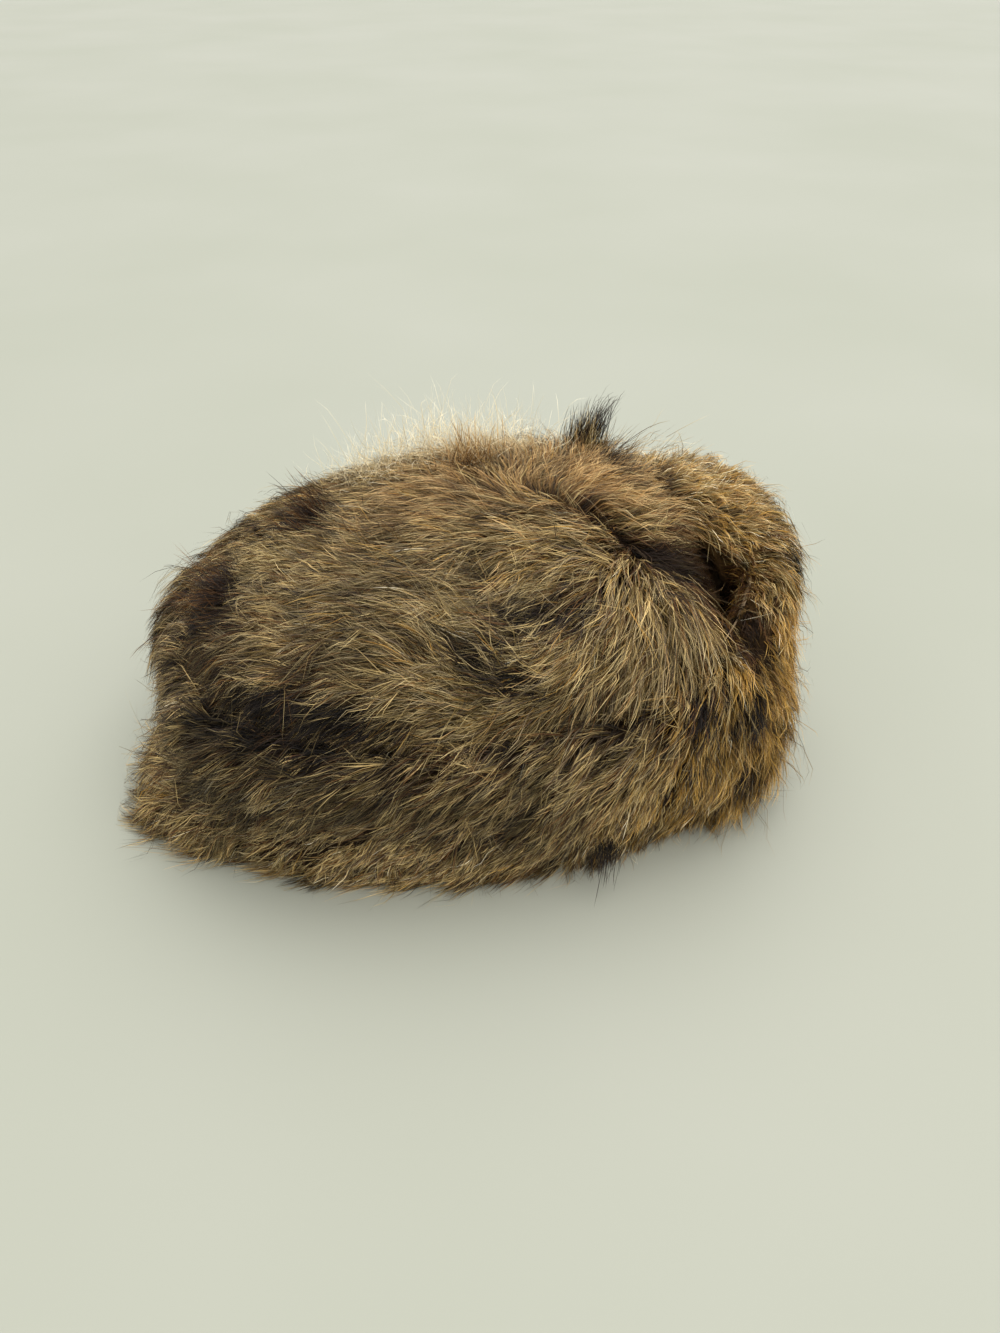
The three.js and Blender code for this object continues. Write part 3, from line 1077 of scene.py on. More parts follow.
@dataclass
class CrownCoat(Coat):
    """The crown's fur, which runs out from a whorl near the front and hangs over the crease."""

    parting: tuple[Triple, ...] = (
        (36.0, -12.0, 109.0),
        (51.0, -27.0, 106.0),
        (61.0, -38.0, 102.0),
        (74.0, -41.0, 94.0),
        (88.0, -46.0, 83.0),
    )
    fall: float = 10.0
    overhangs: tuple[Spot, ...] = (Spot((66, -58, 92), 14), Spot((83, -56, 84), 12))
    bridges: tuple[Spot, ...] = (Spot((68, -16, 100), 10), Spot((64, 8, 104), 12), Spot((58, 30, 103), 12))

    def hanging(self, points: Array) -> Array:
        """Returns how freely the hair hangs over the crevice from these points, from 0 to 1."""
        return np.minimum(1, sum(spot.felt(points) for spot in self.overhangs))

    def bridging(self, points: Array) -> Array:
        """Returns how far the hair from these points reaches over to the cuff's crest, from 0 to 1."""
        return np.minimum(1, sum(spot.felt(points) for spot in self.bridges))

    def source(self, points: Array) -> Array:
        """Finds the nearest places of the parting.

        Args:
            points: The points.

        Returns:
            One place for each point.
        """
        line = np.array(self.parting)
        nearest, least = points, np.full(len(points), np.inf)
        for start, end in zip(line, line[1:]):
            run = end - start
            place = start + np.clip((points - start) @ run / (run @ run), 0, 1)[:, None] * run
            away = np.linalg.norm(points - place, axis=1)
            nearest = np.where((away < least)[:, None], place, nearest)
            least = np.minimum(away, least)
        return nearest

    def lie(self, foot: Footing, a: Array, b: Array) -> Array:
        """Returns the way the hair lies at these footings where it isn't combed."""
        way = foot.point - self.source(foot.point) - UP * self.fall
        return unit(way - foot.normal * dot(way, foot.normal))

    def length(self, points: Array, b: Array) -> Array:
        """Returns the length of the coat's longest hair at these points."""
        near = 1 - smooth(np.linalg.norm(points - self.source(points), axis=1), 4, 22)
        return 21 - 6 * near + 12 * self.hanging(points) + 9 * self.bridging(points)

    def height(self, points: Array, a: Array, b: Array) -> Array:
        """Returns how far over the skin the hair's tips lie at these points."""
        tall = smooth(self.skin.form.cuff_at(np.arctan2(b, a), "top"), 58, 80)
        down = 1 - smooth(points[:, 2], 80, 98)
        rim = smooth(np.hypot(a, b), 0.8, 0.97)
        raised = 7 * self.hanging(points) + 3 * self.bridging(points)
        return 8 * (1 - 0.5 * tall * down) * (1 - 0.35 * rim) + raised

    def looseness(self, points: Array, a: Array, b: Array) -> Array:
        """Returns how little the hair hugs the skin at these points, from 0 to 1."""
        free = 0.5 * self.hanging(points) + 0.6 * self.bridging(points)
        return 0.3 + 0.25 * smooth(np.hypot(a, b), 0.7, 0.95) + free

    def gathering(self, points: Array) -> Array:
        """Returns how far the locks rooted at these points draw together at their tips."""
        return self.lock_gather + 0.4 * self.hanging(points)

    def ruffle(self, points: Array, b: Array) -> Array:
        """Returns how many times more ruffled the hair is at these points than smooth hair."""
        y, z = points[:, 1], points[:, 2]
        return 1 + 1.2 * smooth(z, 98, 108) * smooth(y, -20, 5)

    def mixture(self, points: Array) -> Array:
        """Finds how much of each kind of hair is seen.

        Args:
            points: The points.

        Returns:
            A row of weights for each point, one to a kind.
        """
        x, y, z = points.T
        top = smooth(z, 98, 108) * smooth(y, -34, -8)
        left = smooth(-x, 20, 90)
        near = smooth(-y, 30, 60)
        # Painted backlight: cream hair over the far side of the top, as if light from behind shone through
        # it.
        painted_backlight = smooth(y, 28, 45) * (1 - smooth(y, 55, 72)) * (1 - smooth(np.abs(x - 10), 35, 60))
        weights = np.empty((len(points), len(Tone)))
        weights[:, Tone.OLIVE] = 0.8 - 0.55 * top
        weights[:, Tone.WARM] = 0.15 + 1.8 * top
        weights[:, Tone.GOLD] = 0.04 + 0.3 * smooth(x, 70, 95)
        weights[:, Tone.GREY] = 0.25 + 0.3 * left + 0.2 * near
        weights[:, Tone.BLACK] = 0.14 + 0.1 * left - 0.1 * top
        weights[:, Tone.CREAM] = 0.006 + 0.9 * painted_backlight
        weights[:, Tone.DARK_TIPPED] = 0.05
        weights[:, Tone.RUSSET] = 0.22 + 0.2 * left
        weights[:, Tone.AGOUTI] = 0.5 + 0.4 * left - 0.3 * top
        return weights


@dataclass
class CuffCoat(Coat):
    """The cuff's fur, which runs back and down and splays on the ground."""

    def bearing(self, angle: Array) -> Array:
        """Returns an angle from the front, the same on both sides, in degrees."""
        return np.degrees(np.abs(np.arctan2(np.sin(angle), np.cos(angle))))

    def lie(self, foot: Footing, a: Array, b: Array) -> Array:
        """Returns the way the hair lies at these footings where it isn't combed."""
        bearing = self.bearing(b)
        back = unit(foot.along_b) * np.sign(np.sin(b))[:, None]
        sideways = np.minimum(1, 1.5 * np.abs(np.sin(b))) * smooth(bearing, 8, 45)
        fall = 1.1 - 0.62 * smooth(bearing, 25, 85) + 0.3 * smooth(bearing, 150, 178)
        way = back * sideways[:, None] + unit(foot.along_a) * fall[:, None]
        return unit(way - foot.normal * dot(way, foot.normal))

    def length(self, points: Array, b: Array) -> Array:
        """Returns the length of the coat's longest hair at these points."""
        return 12 + 8 * smooth(self.bearing(b), 35, 80) + 10 * (1 - smooth(points[:, 2], 2, 16))

    def ruffle(self, points: Array, b: Array) -> Array:
        """Returns how many times more ruffled the hair is at these points than smooth hair."""
        return 1 + 0.3 * smooth(points[:, 2], 68, 86)

    def height(self, points: Array, a: Array, b: Array) -> Array:
        """Returns how far over the skin the hair's tips lie at these points."""
        return 7 - 2.5 * (1 - smooth(a, 0.5, 2)) - 3 * smooth(a, 5.5, 7)

    def looseness(self, points: Array, a: Array, b: Array) -> Array:
        """Returns how little the hair hugs the skin at these points, from 0 to 1."""
        return 0.3 + 0.25 * smooth(self.bearing(b), 140, 175) + 0.35 * smooth(a, 4.8, 6.4)

    def mixture(self, points: Array) -> Array:
        """Finds how much of each kind of hair is seen.

        Args:
            points: The points.

        Returns:
            A row of weights for each point, one to a kind.
        """
        centre = self.skin.form.middle
        bearing = self.bearing(np.arctan2(points[:, 1] - centre[1], points[:, 0] - centre[0]))
        gold = 1 - smooth(bearing, 42, 72)
        # Paler hair low down: partly the coat's own tone, partly painted light reflected up from the table.
        low = 1 - smooth(points[:, 2], 5, 26)
        weights = np.empty((len(points), len(Tone)))
        crest = gold * smooth(points[:, 2], 66, 86)
        weights[:, Tone.OLIVE] = 0.3 + 0.3 * (1 - gold) + 0.3 * low + 1.4 * crest
        weights[:, Tone.WARM] = 0.15 + 0.15 * gold + 0.3 * crest
        weights[:, Tone.GOLD] = 1.6 * gold + 0.12 * low - 1.1 * crest
        weights[:, Tone.GREY] = 0.7 * (1 - gold) * (1 - 0.5 * low)
        weights[:, Tone.BLACK] = 0.08 + 0.2 * (1 - gold) - 0.06 * crest
        weights[:, Tone.CREAM] = 0.01 + 0.05 * low + 0.12 * crest
        weights[:, Tone.DARK_TIPPED] = 0.3 * gold - 0.15 * crest
        weights[:, Tone.RUSSET] = 0.12 + 0.3 * (1 - gold)
        weights[:, Tone.AGOUTI] = 0.2 + 0.6 * (1 - gold)
        return weights


class Value:
    """A number on a socket, which Python's operators work on."""

    def __init__(self, nodes: "Nodes", socket: bpy.types.NodeSocket) -> None:
        """Wraps a socket of a material's nodes."""
        self.nodes = nodes
        self.socket = socket

    def maths(self, operation: str, *others: "Value | float") -> "Value":
        """Returns a Math node's result on this number and others."""
        return self.nodes.maths(operation, (self, *others))

    def __add__(self, other: "Value | float") -> "Value":
        """Returns the sum."""
        return self.maths("ADD", other)

    __radd__ = __add__

    def __mul__(self, other: "Value | float") -> "Value":
        """Returns the product."""
        return self.maths("MULTIPLY", other)

    __rmul__ = __mul__


def linear(colour: str) -> tuple[float, float, float, float]:
    """Turns a screen colour into a shader's.

    Args:
        colour: Six hexadecimal digits.

    Returns:
        Its red, green and blue as light, and full opacity.
    """
    parts = [int(colour[k : k + 2], 16) / 255 for k in (0, 2, 4)]
    light = [part / 12.92 if part <= 0.04045 else ((part + 0.055) / 1.055) ** 2.4 for part in parts]
    return (*light, 1.0)


class Ramping(Enum):
    """How a ramp goes from one stop to the next."""

    SMOOTHLY = "LINEAR"
    IN_STEPS = "CONSTANT"


class Nodes:
    """A material and the nodes added to it."""

    def __init__(self, name: str) -> None:
        """Starts an empty material."""
        self.material = bpy.data.materials.new(name)
        self.material.use_nodes = True
        self.tree = self.material.node_tree
        self.tree.nodes.clear()

    def add(self, kind: str, settings: dict | None = None, inputs: dict | None = None) -> bpy.types.Node:
        """Adds a node.

        Args:
            kind: Blender's name for its type.
            settings: Its properties. Under "stops" come a ramp's positions and colours.
            inputs: A value or a link for each socket, by name or number.

        Returns:
            The node.
        """
        node = self.tree.nodes.new(kind)
        for name, setting in (settings or {}).items():
            if name == "stops":
                self.stop(node.color_ramp, setting)
            elif name == "interpolation" and kind == "ShaderNodeValToRGB":
                node.color_ramp.interpolation = setting
            else:
                setattr(node, name, setting)
        for name, value in (inputs or {}).items():
            socket = node.inputs[name]
            if isinstance(value, Value):
                value = value.socket
            if isinstance(value, bpy.types.NodeSocket):
                self.tree.links.new(value, socket)
            else:
                socket.default_value = value
        return node

    @staticmethod
    def stop(ramp: bpy.types.ColorRamp, stops: list[tuple[float, tuple]]) -> None:
        """Sets a ramp's stops."""
        while len(ramp.elements) > 1:
            ramp.elements.remove(ramp.elements[-1])
        for place, (position, colour) in enumerate(stops):
            element = ramp.elements[0] if place == 0 else ramp.elements.new(position)
            element.position = position
            element.color = colour

    def maths(self, operation: str, values: tuple) -> Value:
        """Returns a Math node's result on values."""
        node = self.add("ShaderNodeMath", {"operation": operation}, dict(enumerate(values)))
        return Value(self, node.outputs[0])

    def ramp(
        self, value: Value, stops: list[tuple[float, tuple]], ramping: Ramping = Ramping.SMOOTHLY
    ) -> bpy.types.NodeSocket:
        """Returns the colour that a ramp gives for a value."""
        settings = {"interpolation": ramping.value, "stops": stops}
        return self.add("ShaderNodeValToRGB", settings, {"Fac": value}).outputs["Color"]

    def rise(self, value: Value, low: float, high: float) -> Value:
        """Returns 0 below low and 1 above high, smoothly between them."""
        inputs = {"Value": value, "From Min": low, "From Max": high}
        node = self.add("ShaderNodeMapRange", {"interpolation_type": "SMOOTHSTEP"}, inputs)
        return Value(self, node.outputs["Result"])

    def mix(self, factor: "Value | float", a: object, b: object) -> bpy.types.NodeSocket:
        """Returns two colours mixed."""
        node = self.add("ShaderNodeMix", {"data_type": "RGBA"}, {0: factor, 6: a, 7: b})
        return node.outputs[2]

    def noise(self, scale: float, detail: float = 3.0) -> Value:
        """Returns noise on the object's own coordinates."""
        place = self.add("ShaderNodeTexCoord").outputs["Object"]
        node = self.add("ShaderNodeTexNoise", {}, {"Vector": place, "Scale": scale, "Detail": detail})
        return Value(self, node.outputs[0])

    def surface(self, inputs: dict) -> bpy.types.Material:
        """Ends the material in a Principled shader and returns it."""
        shader = self.add("ShaderNodeBsdfPrincipled", {}, inputs)
        self.add("ShaderNodeOutputMaterial", {}, {"Surface": shader.outputs[0]})
        return self.material


@dataclass(frozen=True)
class FurFinish:
    """Banded hair: each kind has a colour at its root, its middle and its tip."""

    bands: tuple[tuple[str, str, str], ...] = (
        ("261c10", "6c5932", "c6b282"),
        ("44301b", "8c6d43", "c9ab79"),
        ("483217", "967333", "cfab66"),
        ("221a13", "544636", "a89774"),
        ("120e0b", "1f1916", "352b26"),
        ("8a7654", "d2c4a0", "f2ead2"),
        ("6b4f28", "a37b3a", "2a1a12"),
        ("24160d", "4a301a", "7a5730"),
        ("35271a", "b79f6c", "281d16"),
    )
    darkest: float = 0.3
    lightest: float = 2.0
    roughness: float = 0.55
    shine: float = 0.2

    def banded(self, nodes: Nodes, across: Value, part: int) -> bpy.types.NodeSocket:
        """Returns each kind's colour at its root, middle or tip, by the map's column."""
        stops = [(kind / len(Tone), linear(band[part])) for kind, band in enumerate(self.bands)]
        return nodes.ramp(across, stops, Ramping.IN_STEPS)

    def material(self) -> bpy.types.Material:
        """Makes the material.

        Returns:
            The material.
        """
        nodes = Nodes("banded_fur")
        place = nodes.add("ShaderNodeUVMap", {"uv_map": "OFBake"}).outputs["UV"]
        parts = nodes.add("ShaderNodeSeparateXYZ", {}, {"Vector": place})
        across, along = Value(nodes, parts.outputs["X"]), Value(nodes, parts.outputs["Y"])
        root, middle, tip = (self.banded(nodes, across, part) for part in range(3))
        lower = nodes.mix(nodes.rise(along, 0.05, 0.5), root, middle)
        colour = nodes.mix(nodes.rise(along, 0.5, 0.95), lower, tip)
        # The lightness level scales the banded colour; it holds each hair's own random lightness and the
        # painted light and shade of the coats' spots.
        shade = (across * len(Tone)).maths("FRACT")
        step = (self.lightest - self.darkest) / (HAIR_MAP.shades - 1)
        level = (shade * HAIR_MAP.shades).maths("FLOOR") * step + self.darkest
        tone_and_painted_light = nodes.add("ShaderNodeVectorMath", {"operation": "SCALE"}, {0: colour, "Scale": level})
        gloss = {"Roughness": self.roughness, "Specular IOR Level": self.shine}
        return nodes.surface({"Base Color": tone_and_painted_light.outputs[0], **gloss})


@dataclass(frozen=True)
class UnderFurFinish:
    """The dense wool under the long hair, dark low down and lighter in one place higher up."""

    name: str
    lighter: str
    height: tuple[float, float]
    back: tuple[float, float]

    def material(self) -> bpy.types.Material:
        """Makes the material.

        Returns:
            The material.
        """
        nodes = Nodes(self.name)
        grain, patches = nodes.noise(900, 4), nodes.noise(45)
        fine = nodes.ramp(grain, [(0.3, linear("120c08")), (0.7, linear("33261a"))])
        dark = nodes.mix(nodes.rise(patches, 0.35, 0.7), fine, linear("241a11"))
        place = nodes.add("ShaderNodeTexCoord").outputs["Object"]
        parts = nodes.add("ShaderNodeSeparateXYZ", {}, {"Vector": place})
        limits = [[METRE * limit for limit in pair] for pair in (self.back, self.height)]
        y, z = (nodes.rise(Value(nodes, parts.outputs[axis]), *pair) for axis, pair in zip("YZ", limits))
        colour = nodes.mix(y * z, dark, linear(self.lighter))
        bump = nodes.add("ShaderNodeBump", {}, {"Strength": 0.8, "Distance": 0.001, "Height": grain})
        gloss = {"Roughness": 0.95, "Specular IOR Level": 0.05}
        return nodes.surface({"Base Color": colour, "Normal": bump.outputs[0], **gloss})


@dataclass(frozen=True)
class HideFinish:
    """The bare suede side of the hide."""

    def material(self) -> bpy.types.Material:
        """Makes the material.

        Returns:
            The material.
        """
        nodes = Nodes("suede_hide")
        nap, mottle = nodes.noise(1400, 5), nodes.noise(55, 4)
        stops = [(0.3, linear("a38a68")), (0.55, linear("b79e7b")), (0.75, linear("c7b190"))]
        base = nodes.ramp(mottle, stops)
        colour = nodes.mix(nodes.rise(nap, 0.3, 0.75) * 0.35, base, linear("8c7252"))
        height = nap + mottle * 2.0
        bump = nodes.add("ShaderNodeBump", {}, {"Strength": 0.35, "Distance": 0.0006, "Height": height})
        rough = 0.82 + nap * 0.12
        return nodes.surface({"Base Color": colour, "Roughness": rough, "Normal": bump.outputs[0]})


@dataclass(frozen=True)
class FloorFinish:
    """A plain pale table."""

    def material(self) -> bpy.types.Material:
        """Makes the material.

        Returns:
            The material.
        """
        nodes = Nodes("pale_table")
        cloud = nodes.noise(3.0)
        colour = nodes.ramp(cloud, [(0.3, linear("b4b8aa")), (0.7, linear("babdb1"))])
        return nodes.surface({"Base Color": colour, "Roughness": 0.5, "Specular IOR Level": 0.3})


class Sweep(Protocol):
    """Gives points for two coordinates from 0 to 1."""

    def __call__(self, around: Array, along: Array) -> Array:
        """Returns the points."""


def swept(name: str, sweep: Sweep, around: int, along: int) -> bpy.types.Object:
    """Makes a closed piece from a grid that is wrapped round the hat.

    Args:
        name: The piece's name.
        sweep: Gives the place of each point of the grid.
        around: The facets round the hat.
        along: The facets along the section.

    Returns:
        The piece.
    """
    form = bmesh.new()
    bmesh.ops.create_grid(form, x_segments=around, y_segments=along, size=1)
    places = np.array([vert.co[:2] for vert in form.verts]) / 2 + 0.5
    points = sweep(places[:, 0], places[:, 1]) * METRE
    for vert, point in zip(form.verts, points):
        vert.co = point
    bmesh.ops.remove_doubles(form, verts=form.verts, dist=MERGED)
    bmesh.ops.holes_fill(form, edges=[edge for edge in form.edges if edge.is_boundary], sides=0)
    bmesh.ops.recalc_face_normals(form, faces=form.faces)
    mesh = bpy.data.meshes.new(name)
    form.to_mesh(mesh)
    form.free()
    mesh.shade_smooth()
    piece = bpy.data.objects.new(name, mesh)
    bpy.context.scene.collection.objects.link(piece)
    return piece


@dataclass
class Hide:
    """The hat's hide: the crown's upright side, its rounded top and the folded cuff."""

    form: HatForm
    wall: float = 2.5
    clearance: float = 0.6
    around: int = 96
    dome_rows: int = 25

    def side(self, around: Array, along: Array) -> Array:
        """Finds points of the crown's side, a wall with rounded edges.

        Args:
            around: The share of the way round the hat.
            along: The share of the way along the section.

        Returns:
            The points.
        """
        angle = around * 2 * math.pi
        top = CROWN_ROWS[1].height - self.clearance
        lifts = np.array([0, 0, -0.3, -1.2, -2.2, -2.5, -2.5, -2.2, -1.2, -0.3, 0])
        heights = np.array([0.9, top - 0.9, top - 0.2, top, top - 0.2, top - 0.9, 0.9, 0.2, 0, 0.2, 0.9])
        place = along * (len(lifts) - 1)
        knots = np.arange(len(lifts))
        rim = self.form.crown_hide(angle, 0 * angle)
        outward = unit((rim - np.array([*self.form.middle, 0])) * (1, 1, 0))
        points = rim + outward * np.interp(place, knots, lifts)[:, None]
        points[:, 2] = np.interp(place, knots, heights)
        return points

    def dome(self, around: Array, along: Array) -> Array:
        """Finds points of the crown's rounded top, out from the middle and back inside.

        Args:
            around: The share of the way round the hat.
            along: The share of the way along the section.

        Returns:
            The points.
        """
        angle = around * 2 * math.pi
        outside = along < 0.5
        share = np.minimum((1 - np.abs(along - 0.5) * 2) * self.dome_rows / (self.dome_rows - 1), 1)
        place = self.form.pole - (self.form.pole - 1) * share
        depth = np.where(outside, 0.0, self.wall)
        return self.form.crown_hide(angle, place) - self.form.crown_normal(angle, place) * depth[:, None]

    def fold(self, around: Array, along: Array) -> Array:
        """Finds points of the cuff's folded band, rounded below and above.

        Args:
            around: The share of the way round the hat.
            along: The share of the way along the section.

        Returns:
            The points.
        """
        angle = around * 2 * math.pi
        top = self.form.cuff_at(angle, "top")
        outs = np.array([0.4, 1.4, 3.6, 7.0, 9.3, 10.3, 9.9, 9.3, 8.6, 6.9, 3.7, 2.0, 1.3, 0.8, 0.4])
        above = np.array([4, 1.3, 0.1, 0.1, 1.3, 4, 0, -4, -1.2, 0, 0, -1.2, -4, 0, 4])
        share = np.array([0, 0, 0, 0, 0, 0, 0.5, 1, 1, 1, 1, 1, 1, 0.5, 0])
        knots = np.arange(len(outs))
        place = along * (len(outs) - 1)
        height = np.interp(place, knots, above) + np.interp(place, knots, share) * top
        return self.form.cuff_point(angle, np.interp(place, knots, outs), height)

    def build(self, finish: bpy.types.Material) -> None:
        """Makes the three pieces of hide.

        Args:
            finish: Their material.
        """
        sections = (
            ("crown_side_hide", self.side, 10, "crown_side_pelt"),
            ("crown_top_hide", self.dome, self.dome_rows, "crown_top_pelt"),
            ("cuff_hide", self.fold, 28, "cuff_pelt"),
        )
        for name, sweep, along, node in sections:
            dressed(swept(name, sweep, self.around, along), finish, "hide", node)


@dataclass
class UnderFur:
    """The dense wool that the long hair stands in."""

    form: HatForm
    crown: CrownSkin
    cuff: CuffSkin
    around: int = 120
    turn: float = 0.6

    def over_crown(self, around: Array, along: Array) -> Array:
        """Finds points of the crown's wool, out from the middle and back under it.

        Args:
            around: The share of the way round the hat.
            along: The share of the way along the section.

        Returns:
            The points.
        """
        angle = around * 2 * math.pi
        outside = along < 0.5
        reach = np.where(outside, along * 2, 2 - along * 2)
        a, b = reach * np.cos(angle), reach * np.sin(angle)
        outer = self.crown.at(a, b)
        place = self.form.pole - (self.form.pole - 1) * reach
        inner = self.form.crown_hide(angle, place) + 0.2 * self.form.crown_normal(angle, place)
        return np.where(outside[:, None], outer, inner)

    def over_cuff(self, around: Array, along: Array) -> Array:
        """Finds points of the cuff's wool, down its outside and back up along the hide.

        Args:
            around: The share of the way round the hat.
            along: The share of the way along the section.

        Returns:
            The points.
        """
        angle = around * 2 * math.pi
        top = self.form.cuff_at(angle, "top")
        outer = self.cuff.at(np.minimum(along / self.turn, 1) * 7.1, angle)
        outer[:, 2] = np.maximum(outer[:, 2], 0.6)
        still = 0 * top
        first = self.cuff.inner_edge(angle)
        leaning = first[0] < 0
        outs = [10.9 + still, 10 + still, 9.8 + still, 8 + still, 3 + still, 0.9 + still, 0.9 + still]
        heights = [0.8 + still, 6 + still, top - 5, top + 0.4, top + 0.4, top - 5, top - 16]
        for share in (1 / 3, 2 / 3):
            outs.append(0.9 + (first[0] - 0.9) * share)
            heights.append(np.where(leaning, self.cuff.over_hide(outs[-1]) + 2, top - 16 - share))
        outs.append(first[0])
        heights.append(first[1])
        place = np.clip((along - self.turn) / (1 - self.turn), 0, 0.9999) * (len(outs) - 1)
        knot = place.astype(int)[:, None]
        share = place - knot[:, 0]
        out, height = (
            np.take_along_axis(np.stack(values, 1), knot, 1)[:, 0] * (1 - share)
            + np.take_along_axis(np.stack(values, 1), knot + 1, 1)[:, 0] * share
            for values in (outs, heights)
        )
        inner = self.form.cuff_point(angle, out, height)
        return np.where((along < self.turn)[:, None], outer, inner)

    def build(self) -> None:
        """Makes the wool of both coats."""
        crown = UnderFurFinish("crown_wool", "5a4529", (98, 108), (-22, 0)).material()
        cuff = UnderFurFinish("cuff_wool", "6b5231", (70, 88), (-200, -100)).material()
        dressed(swept("crown_under_fur", self.over_crown, self.around, 40), crown, "crown_fur", "crown_fur")
        dressed(swept("cuff_under_fur", self.over_cuff, self.around, 36), cuff, "cuff_fur", "cuff_fur")


@dataclass(frozen=True)
class Lamp:
    """A broad soft light that is far away: the way that it is in, and the angle in degrees that it fills."""

    name: str
    way: Triple
    softness: float
    strength: float
    colour: Triple

    def build(self) -> None:
        """Adds the light."""
        data = bpy.data.lights.new(self.name, "SUN")
        data.angle = math.radians(self.softness)
        data.energy = self.strength
        data.color = self.colour
        lamp = bpy.data.objects.new(self.name, data)
        lamp.rotation_euler = (-Vector(self.way)).to_track_quat("-Z", "Y").to_euler()
        bpy.context.scene.collection.objects.link(lamp)


@dataclass(frozen=True)
class Studio:
    """The camera, the lights and the table."""

    target: Triple = (0.0, 0.0, 50.0)
    pitch: float = 35.0
    turn: float = 8.0
    distance: float = 400.0
    focal: float = 1000.0
    frame: tuple[float, float] = (1000.0, 1333.0)
    aim: tuple[float, float] = (462.0, 618.0)
    film: float = 36.0
    near: float = 10.0
    table_reach: float = 40_000.0
    lamps: tuple[Lamp, ...] = (
        Lamp("window", (0.25, 0.48, 1.1), 65, 1.45, (1.0, 0.98, 0.95)),
        Lamp("ceiling", (0.3, -0.6, 1.2), 80, 0.8, (1.0, 0.97, 0.92)),
    )
    room: str = "e4e3df"
    room_light: float = 0.9

    def camera(self) -> None:
        """Makes the camera and aims it as the photograph was taken."""
        pitch, turn = math.radians(self.pitch), math.radians(self.turn)
        level = math.cos(pitch)
        ahead = Vector((math.sin(turn) * level, math.cos(turn) * level, -math.sin(pitch)))
        right = Vector((math.cos(turn), -math.sin(turn), 0))
        above = right.cross(ahead)
        place = (Vector(self.target) - ahead * self.distance) * METRE
        across = self.frame[0] / 2 - self.aim[0]
        down = self.frame[1] / 2 - self.aim[1]
        look = ahead * self.focal + right * across - above * down
        data = bpy.data.cameras.new("photo_camera")
        data.sensor_fit = "VERTICAL"
        data.sensor_height = self.film
        data.lens = self.focal / self.frame[1] * self.film
        data.clip_start = self.near * METRE
        camera = bpy.data.objects.new("photo_camera", data)
        camera.location = place
        camera.rotation_euler = look.to_track_quat("-Z", "Y").to_euler()
        bpy.context.scene.collection.objects.link(camera)
        bpy.context.scene.camera = camera

    def table(self) -> None:
        """Makes the pale floor that the hat stands on."""
        form = bmesh.new()
        bmesh.ops.create_grid(form, x_segments=1, y_segments=1, size=self.table_reach * METRE)
        mesh = bpy.data.meshes.new("table")
        form.to_mesh(mesh)
        form.free()
        floor = bpy.data.objects.new("table", mesh)
        mesh.materials.append(FloorFinish().material())
        bpy.context.scene.collection.objects.link(floor)

    def build(self) -> None:
        """Sets up the whole stage."""
        self.camera()
        self.table()
        for lamp in self.lamps:
            lamp.build()
        world = bpy.data.worlds.new("pale_room")
        world.use_nodes = True
        background = world.node_tree.nodes["Background"]
        background.inputs["Color"].default_value = linear(self.room)
        background.inputs["Strength"].default_value = self.room_light
        bpy.context.scene.world = world
        bpy.context.scene.view_settings.view_transform = "Standard"


UNDER_HAIR = Layer(
    "under_hair", guides=1900, hairs=20, points=3, width=0.34, length=(0.4, 0.9), tuft=3.4,
    gather=(0.0, 0.5), spin=15, sunk=4.0, stray=2.2, wave=0.3, tip=0.66, bright=0.26,
)
GUARD_HAIR = Layer(
    "guard_hair", guides=12000, hairs=5, points=3, width=0.26, length=(0.5, 0.9), tuft=1.1,
    gather=(0.0, 0.8), spin=10, sunk=2.2, stray=1.6, wave=0.4, bright=0.45,
)
LONG_HAIR = Layer(
    "long_hair", guides=3900, hairs=4, points=5, width=0.23, length=(0.7, 1.15), tuft=0.8,
    gather=(0.1, 0.9), spin=10, sunk=0.3, stray=1.6, wave=1.1, bright=0.6,
)
FINE_HAIR = Layer(
    "fine_hair", guides=1700, hairs=3, points=4, width=0.15, length=(0.6, 1.15), tuft=1.5,
    gather=(0.0, 0.1), spin=32, sunk=0.0, stray=3.0, wave=0.8, bright=0.4, raised=1.4,
)
CROWN_LAYERS = (UNDER_HAIR, GUARD_HAIR, LONG_HAIR, FINE_HAIR)
CUFF_LAYERS = (
    replace(UNDER_HAIR, guides=2300),
    replace(GUARD_HAIR, guides=14000),
    replace(LONG_HAIR, guides=3300, spin=9, stray=1.5, wave=0.6, bright=0.58),
    replace(FINE_HAIR, guides=2500),
)
CROWN_SWELLS = (
    Swell((-85, 5, 85), 28, -9),
    Swell((-45, 45, 96), 28, -6),
    Swell((0, 40, 108), 25, -3),
    Swell((51, -28, 106), 5, -6),
    Swell((61, -37, 102), 6, -10),
    Swell((73, -40, 96), 7, -12),
    Swell((86, -44, 86), 9, -12),
    Swell((70, -60, 89), 8, 4),
    Swell((80, -60, 82), 7, 5),
    Swell((-16, -71, 96), 6, -4),
    Swell((-5, -80, 89), 6, -5),
    Swell((6, -86, 82), 7, -5),
    Swell((-98, -56, 64), 9, -8),
    Swell((-82, -70, 64), 9, -8),
    Swell((-65, -80, 64), 9, -7),
    Swell((-46, -85, 64), 8, -5),
)
CUFF_SWELLS = (
    Swell((105, -76, 22), 24, 14),
    Swell((118, -40, 30), 20, 6),
    Swell((90, -64, 78), 8, -8),
    Swell((96, -46, 82), 8, -6),
    Swell((92, -64, 77), 6, -6),
    Swell((-120, -48, 8), 18, 10),
    Swell((-122, -28, 8), 18, 8),
    Swell((-118, -25, 56), 20, -7),
    Swell((-72, -92, 6), 26, -8),
    Swell((-20, -102, 4), 30, -8),
    Swell((35, -102, 4), 28, -8),
    Swell((66, -96, 6), 18, -9),
)
